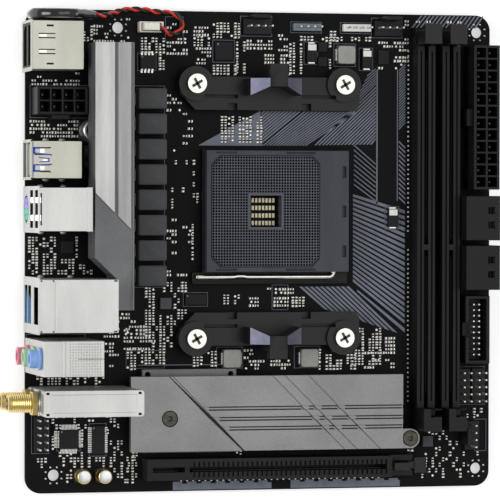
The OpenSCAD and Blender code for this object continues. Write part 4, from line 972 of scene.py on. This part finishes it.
def makeAntennas():
    low, high = boardBox("antenna_connectors")
    rootX, y = high[0] - 0.02, (low[1] + high[1]) / 2
    reach = rootX - low[0]
    gold, nuts, washers, cores = [], [], [], []
    start = 3.2
    count = int((reach - 0.5 - start) / antenna["pitch"])
    thread = [(antenna["radius"] - antenna["depth"] * k, start + (i + s) * antenna["pitch"])
              for i in range(count) for s, k in ((0.0, 1), (0.4, 0), (0.6, 0))]
    profile = [(0.3, 0.0), (antenna["radius"] - 0.2, 0.0), (antenna["radius"] - 0.2, start)] + thread + \
              [(antenna["radius"] - 0.22, reach - 0.25), (antenna["radius"] - 0.5, reach), (2.3, reach),
               (2.3, reach - 5), (0.3, reach - 5)]
    for z in antenna["heights"]:
        at = (rootX, y, z)
        gold.append(lathe(at, "-x", profile, 32))
        nuts.append(lathe(at, "-x", [(0.3, 1.1), (4.3, 1.1), (4.6, 1.3), (4.6, 2.9), (4.2, 3.1),
                                     (0.3, 3.1)], 6))
        washers.append(lathe(at, "-x", [(0.3, 0.0), (4.4, 0.0), (4.4, 0.5), (0.3, 0.5)], 32))
        washers.append(lathe(at, "-x", [(0.3, 0.62), (4.1, 0.62), (4.1, 1.02), (0.3, 1.02)], 32))
        cores.append(lathe(at, "-x", [(0.02, reach - 5.2), (1.9, reach - 5.2), (1.9, reach - 3.4),
                                      (0.6, reach - 3.4),
                                      (0.6, reach - 0.8), (0.02, reach - 0.7)], 20))
    addPiece("antenna_threads", *joinParts(gold), "goldPlate", replaced=("antenna_connectors",),
             like="antenna_connectors", smoothAngle=28)
    addPiece("antenna_nuts", *joinParts(nuts), "turnedBrass", like="antenna_connectors")
    addPiece("antenna_washers", *joinParts(washers), "nickelPlate", like="solder_tails", smoothAngle=40)
    addPiece("antenna_cores", *joinParts(cores), "whitePolyester", like="led_headers", smoothAngle=40)


makeAntennas()
print("antenna connectors made")


# Port shells: raised rims, pressed ribs, side springs, slots and dimples on the sheet metal
portTrim = {
    "plates": [  # x from, to; y from, to; z from, to; edge; raised nickel sheet
        (16.4, 18.3, 92.1, 107.4, 29.9, 30.28, 0.15), (3.4, 33.2, 30.1, 36.4, 32.95, 33.25, 0.12),
        (6.6, 7.7, 42.6, 54.9, 36.9, 37.4, 0.25),
    ],
    "rims": [  # the same, tinned sheet
        (16.4, 17.15, 110.8, 123.2, 15.55, 15.75, 0.06), (16.7, 17.35, 148.5, 164.8, 17.95, 18.12, 0.06),
    ],
    "tongues": [  # x from, to; y from, to; z from, to; edge; polished spring tongues
        (1.7, 4.4, 153.85, 154.75, 17.98, 18.08, 0.03), (1.7, 4.4, 159.35, 160.25, 17.98, 18.08, 0.03),
        (2.5, 4.1, 119.3, 120.8, 15.58, 15.66, 0.03), (2.5, 4.1, 113.3, 114.8, 15.58, 15.66, 0.03),
        (3.4, 5.1, 116.5, 117.2, 15.58, 15.66, 0.03),
    ],
    "ramps": [  # x from, to; y from, to; z at the mouth, z inside; contact springs on the port floors
        (-0.35, 2.4, 111.6, 122.4, 8.65, 11.4), (-0.4, 2.2, 95.9, 97.8, 13.6, 15.6),
        (-0.4, 2.2, 102, 103.9, 13.6, 15.6), (-0.4, 2.2, 95.9, 97.8, 23.4, 25.4),
        (-0.4, 2.2, 102, 103.9, 23.4, 25.4),
    ],
    "slots": [  # x from, to; y from, to; z; painted shade: dark slabs where the sheet is cut open
        (1.6, 7.4, 153.4, 153.75, 18.03), (1.6, 7.4, 154.85, 155.2, 18.03),
        (1.6, 7.4, 158.9, 159.25, 18.03), (1.6, 7.4, 160.35, 160.7, 18.03), (4.4, 5.0, 75.0, 75.5, 30.02),
        (0.2, 0.8, 75.0, 75.5, 30.02), (25.8, 27, 75.0, 75.5, 30.02), (0.2, 0.8, 57.6, 58.1, 30.02),
        (4.4, 5.0, 57.6, 58.1, 30.02), (25.8, 27, 57.6, 58.1, 30.02), (2.5, 6.0, 121.15, 121.28, 15.63),
        (2.5, 6.0, 112.62, 112.75, 15.63), (5.9, 6.3, 121.05, 121.4, 15.64),
        (5.9, 6.3, 112.5, 112.85, 15.64), (6.2, 6.6, 118.4, 118.8, 15.71),
        (6.2, 6.6, 115.2, 115.6, 15.71), (-0.9, 0.5, 123.3, 123.8, 16.13),
        (-0.9, 0.5, 110.2, 110.7, 16.13),
    ],
    "blue": [  # x from, to; y at the start; half width; slope; blue plastic under the spring cuts
        (0.1, 6.4, 119.3, 0.2, -0.1), (0.1, 2.5, 121.05, 0.32, 0.0), (0.1, 0.8, 120.1, 1.0, 0.0),
        (0.1, 6.4, 115.1, 0.2, 0.04), (0.1, 2.5, 113.05, 0.32, 0.0), (0.1, 0.8, 114.0, 1.0, 0.0),
        (2.0, 5.7, 117.75, 0.17, -0.1), (2.2, 5.7, 116.15, 0.17, 0.07), (5.4, 5.8, 116.9, 0.55, 0.0),
        (-0.12, 0.12, 117, 6.0, 0.0),
    ],
    "springs": [(5.8, 123.75, 8), (11.5, 123.75, 8), (5.8, 110.25, 8), (11.5, 110.25, 8), (4, 76.1, 8),
                (14.6, 76.1, 8),
                (3, 57.0, 8), (13, 57.0, 8), (4, 107.6, 8), (12, 107.6, 8), (4, 91.9, 8), (12, 91.9, 8)],
    "dimples": {"x": (9.2, 20.4), "y": (43.4, 54.4), "pitch": 0.95, "radius": 0.3},
}


def makePortTrim():
    rows = np.array(portTrim["plates"])
    parts = [blocks(row[[0, 2, 4]], row[[1, 3, 5]], row[6]) for row in rows]
    dome = [(1.15, 0.0), (1.1, 0.3), (0.85, 0.62), (0.5, 0.8), (0.05, 0.85)]
    for x, y, z in portTrim["springs"]:
        parts.append(lathe((x, y, z), "+y" if y in (123.75, 76.1, 107.6) else "-y", dome, 18))
    addPiece("port_sheet_trim", *joinParts(parts), "nickelSheet", like="lan_shell", smoothAngle=40)
    rows = np.array(portTrim["rims"])
    parts = [blocks(row[[0, 2, 4]], row[[1, 3, 5]], row[6]) for row in rows]
    addPiece("port_sheet_rims", *joinParts(parts), "tinnedSheet", like="usb_shell")
    rows = np.array(portTrim["tongues"])
    parts = [blocks(row[[0, 2, 4]], row[[1, 3, 5]], row[6]) for row in rows]
    for x0, x1, y0, y1, z0, z1 in portTrim["ramps"]:
        ramp = [[(x0, y, z0), (x1, y, z1), (x1, y, z1 + 0.15), (x0, y, z0 + 0.15)] for y in (y1, y0)]
        parts.append(skinRings(np.array(ramp)))
    addPiece("port_spring_tongues", *joinParts(parts), "nickelPlate", like="lan_shell")
    spots = portTrim["dimples"]
    x, y = np.meshgrid(np.arange(*spots["x"], spots["pitch"]), np.arange(*spots["y"], spots["pitch"]))
    kept = np.abs(y.ravel() - 48.7) > 0.35
    top = boardBox("audio_block")[1][2]
    angle = np.arange(8) * np.pi / 4
    centres = np.column_stack([x.ravel(), y.ravel(), np.full(x.size, top)])[kept]
    rings = np.array([np.column_stack([np.cos(angle) * r, np.sin(angle) * r, np.full(8, h)])
                      for r, h in ((spots["radius"], -0.02), (spots["radius"] * 0.8, 0.14), (0.04, 0.18))])
    points, faces = skinRings(centres[:, None, None] + rings[None])
    addPiece("audio_dimples", points, faces, "tinnedSheet", like="audio_block", smoothAngle=60)
    # painted shade: dark slabs stand for the openings cut in the sheet
    outlines = [([(x0, y0), (x1, y0), (x1, y1), (x0, y1)], z) for x0, x1, y0, y1, z in portTrim["slots"]]
    parts = [slabs([outline], z - 0.05, z) for outline, z in outlines]
    addPiece("port_slot_painted_shade", *joinParts(parts), "blackPort", like="lan_inserts")
    outlines = [[(x0, y - w), (x1, y + (x1 - x0) * slope - w), (x1, y + (x1 - x0) * slope + w), (x0, y + w)]
                for x0, x1, y, w, slope in portTrim["blue"]]
    addPiece("usb_blue_slots", *slabs(outlines, 15.6, 15.69), "bluePort", like="usb_inserts")


makePortTrim()
print("port trim made")


# Chip leads: rows of gull-wing feet, one bent strip each
chipLeads = [  # centre x, y; body half x, half y; leads along each x side, each y side; pitch; height; reach
    (15.45, 19.0, 3.45, 3.4, 12, 12, 0.5, 0.9, 1.7), (25.9, 18.6, 2.3, 5, 14, 0, 0.65, 0.9, 1.2),
    (43.4, 151.8, 2.6, 2.4, 0, 4, 1.27, 0.9, 1.4),
]


def makeChipLeads():
    # each lead is carried along foot, knee and shoulder; its width is half the pitch
    lows, highs = [], []
    for x, y, halfX, halfY, alongY, alongX, pitch, height, reach in chipLeads:
        for count, half, side in ((alongY, halfX, 0), (alongX, halfY, 1)):
            for i in range(count):
                shift = (i - (count - 1) / 2) * pitch
                for sign in (-1, 1):
                    for near, far, z0, z1 in ((half, half + 0.45, height - 0.15, height),
                                              (half + 0.4, half + 0.55, 0.05, height),
                                              (half + 0.45, half + reach, 0.02, 0.16)):
                        a, b = sorted((sign * near, sign * far))
                        w = pitch * 0.27
                        if side == 0:
                            lows.append((x + a, y + shift - w, z0))
                            highs.append((x + b, y + shift + w, z1))
                        else:
                            lows.append((x + shift - w, y + a, z0))
                            highs.append((x + shift + w, y + b, z1))
    addPiece("chip_leads", *blocks(lows, highs, 0.02), "tinnedCopper", like="solder_tails")


makeChipLeads()


# Marks and metal ends on the larger flat parts
flatParts = {
    "coils": [(112.4, 151.8), (70.6, 43.6), (99, 43.6)], "coilSide": 6.6, "coilTop": 3.0,
    "polymer": [(101.4, 152.4), (121.8, 150.4), (131.6, 93.6)], "polymerSize": (3.6, 6.6, 2.0),
    "pinDots": [(69.0, 158.4, 0.9), (12.8, 21.6, 1.5), (24.2, 22.8, 1.6), (41.5, 153.5, 1.6),
                (58, 69.2, 1.2)],
}


def makeFlatParts():
    side, top = flatParts["coilSide"], flatParts["coilTop"]
    corners = np.array(flatParts["coils"])
    centres = np.column_stack([corners + side / 2, np.zeros(len(corners))])
    caps = [roundedBlocks(centres, (side / 2 + 0.02, side / 2 + 0.02),
                          [(top - 0.5, 0), (top - 0.15, 0.02), (top + 0.04,
                          0.25)], 1.1, 3)]
    addPiece("coil_crowns", *joinParts(caps), "firedFerrite", like="chokes", smoothAngle=30)
    ends = [blocks(np.column_stack([corners + (dx, 1.2), np.full(3, 0.0)]),
                   np.column_stack([corners + (dx + 0.5, side - 1.2), np.full(3, 1.8)]),
                   0.1) for dx in (-0.4, side - 0.1)]
    wide, long, high = flatParts["polymerSize"]
    polymer = np.array(flatParts["polymer"])
    ends += [blocks(np.column_stack([polymer + (0.6, dy), np.zeros(3)]),
                    np.column_stack([polymer + (wide - 0.6, dy + 0.7), np.full(3, 1.0)]),
                    0.05) for dy in (-0.5, long - 0.2)]
    addPiece("flat_part_ends", *joinParts(ends), "tinnedCopper", like="solder_tails")
    outlines = []
    for x, y in flatParts["polymer"]:
        outlines.append(([(x + 0.3, y + 4.2), (x + wide - 0.3, y + 4.2), (x + wide - 0.3, y + long - 0.3),
                          (x + 0.3, y + long - 0.3)], high))
    parts = [slabs([outline], z - 0.02, z + 0.02) for outline, z in outlines]
    addPiece("polarity_marks", *joinParts(parts), "whitePolyester", like="led_headers")
    dots = [lathe((x, y, z), "+z", [(0.35, 0.0), (0.35, 0.015), (0.02, 0.02)], 14) for x, y,
            z in flatParts["pinDots"]]
    addPiece("pin_one_dots", *joinParts(dots), "legendInk", like="led_headers")


makeFlatParts()
print("chip details made")


# Round port face in two colours: a ring of corners carried along each half circle, for the core and the
# collar
roundPort = {"middle": (99.9, 6.0), "rings": ((0.05, 4.1), (4.6, 5.05)), "proud": 0.1, "steps": 24,
             "pins": ((1.9, 1.9), (-1.9, 1.9), (2.3, -1.2), (-2.3, -1.2), (0, 2.9), (0, -2.6))}


def makeRoundPort():
    frontX = boardBox("ps2_inserts")[0][0]
    y, z = roundPort["middle"]
    proud = roundPort["proud"]
    for name, material, start in (("mouse_face_half", "purplePort", 0),
                                  ("keyboard_face_half", "greenPort", 180)):
        angle = np.radians(np.linspace(start, start + 180, roundPort["steps"] + 1))
        parts = []
        for inner, outer in roundPort["rings"]:
            corners = [(inner, 0.02), (outer, 0.02), (outer - 0.1, -proud), (inner + 0.04, -proud)]
            rings = np.stack([np.stack([np.full(len(angle), frontX + depth), y + np.sin(angle) * radius,
                                        z + np.cos(angle) * radius], -1) for radius, depth in corners], 1)
            parts.append(skinRings(rings))
        addPiece(name, *joinParts(parts), material, like="ps2_inserts", smoothAngle=40)
    # painted shade: dark discs on the face where the pin holes lie
    pin = [(0.42, 0.0), (0.42, 0.03), (0.02, 0.035)]
    pins = [lathe((frontX - proud, y + dy, z + dz), "-x", pin, 12) for dy, dz in roundPort["pins"]]
    addPiece("round_port_pin_hole_shade", *joinParts(pins), "blackPort", like="lan_inserts")


makeRoundPort()


# Painted shade: dark slabs in the grooves of the storage cover, so that the cut lines read as deep
grooves = {"floor": 0.02, "step": [(48.7, 41.0), (50.1, 41.0), (77.7, 14.7), (76.3, 14.7)],
           "channels": (28.9, 25.2, 21.8), "diagonals": (86.8, 91.4, 100)}


def makeGrooveShade():
    top, parts = boardBox("m2_cover")[1][2], []
    parts.append(slabs([grooves["step"]], top - 0.5, top - 0.48 + grooves["floor"]))
    for y in grooves["channels"]:
        start = 50 + 28 * (41.1 - y) / 26.5 + 1.2
        crossings = [x + 27.9 * (41.1 - y) / 26.5 for x in grooves["diagonals"]]
        edges = [start] + [c for crossing in crossings for c in (crossing - 1.9, crossing + 0.9)] + [134.9]
        for x0, x1 in zip(edges[::2], edges[1::2]):
            if x1 > x0:
                for dy in (0.06, 0.98):
                    parts.append(slabs([[(x0, y + dy), (x1, y + dy), (x1, y + dy + 0.36),
                                         (x0, y + dy + 0.36)]],
                                       top - 0.4, top - 0.36))
    for x in grooves["diagonals"]:
        parts.append(slabs([[(x - 0.95, 41.0), (x - 0.55, 41.0), (x + 27.4, 14.7), (x + 27.0, 14.7)]],
                           top - 0.3, top - 0.27))
    addPiece("cover_groove_painted_shade", *joinParts(parts), "blackPort", like="m2_cover")


makeGrooveShade()
print("round port and cover grooves made")


# Floor and light
studio = {"floorSide": 3.0, "floorColour": "#f4f4f3", "paperGlow": 0.45, "softboxPower": 3.2,
          "softboxSide": 0.9, "sidePower": 4, "fillPower": 1, "worldStrength": 0.45}


def setStudio():
    side = studio["floorSide"] / 2
    floorZ = cadBox[0][2] - 0.0005
    mesh = bpy.data.meshes.new("floor")
    mesh.from_pydata([(-side, -side, floorZ), (side, -side, floorZ), (side, side, floorZ),
                      (-side, side, floorZ)],
                     [], [(0, 1, 2, 3)])
    floor = bpy.data.objects.new("floor", mesh)
    bpy.context.scene.collection.objects.link(floor)
    paper = bpy.data.materials.new("seamlessPaper")
    paper.use_nodes = True
    shader = paper.node_tree.nodes["Principled BSDF"]
    shader.inputs["Base Color"].default_value = hexColour(studio["floorColour"])
    shader.inputs["Roughness"].default_value = 0.9
    shader.inputs["Emission Color"].default_value = (1, 1, 1, 1)
    shader.inputs["Emission Strength"].default_value = studio["paperGlow"]
    mesh.materials.append(paper)
    world = bpy.data.worlds.new("studio")
    world.use_nodes = True
    world.node_tree.nodes["Background"].inputs["Color"].default_value = (1, 1, 1, 1)
    world.node_tree.nodes["Background"].inputs["Strength"].default_value = studio["worldStrength"]
    bpy.context.scene.world = world
    middle = Vector(((cadBox[0][0] + cadBox[1][0]) / 2, (cadBox[0][1] + cadBox[1][1]) / 2, 0))
    for name, offset, power, size in [("softbox", (0.33, 0.05, 1.15), studio["softboxPower"],
                                       studio["softboxSide"]),
                                      ("side", (-0.83, 0.0, 0.58), studio["sidePower"], 0.5),
                                      ("fill", (1.0, 0.0, 0.22), studio["fillPower"], 0.4)]:
        lamp = bpy.data.lights.new(name, "AREA")
        lamp.shape = "SQUARE"
        lamp.size = size
        lamp.energy = power
        holder = bpy.data.objects.new(name, lamp)
        bpy.context.scene.collection.objects.link(holder)
        holder.location = middle + Vector(offset)
        holder.rotation_euler = (middle - holder.location).to_track_quat("-Z", "Y").to_euler()
    bpy.context.scene.view_settings.view_transform = "Standard"


setStudio()
print("studio set")
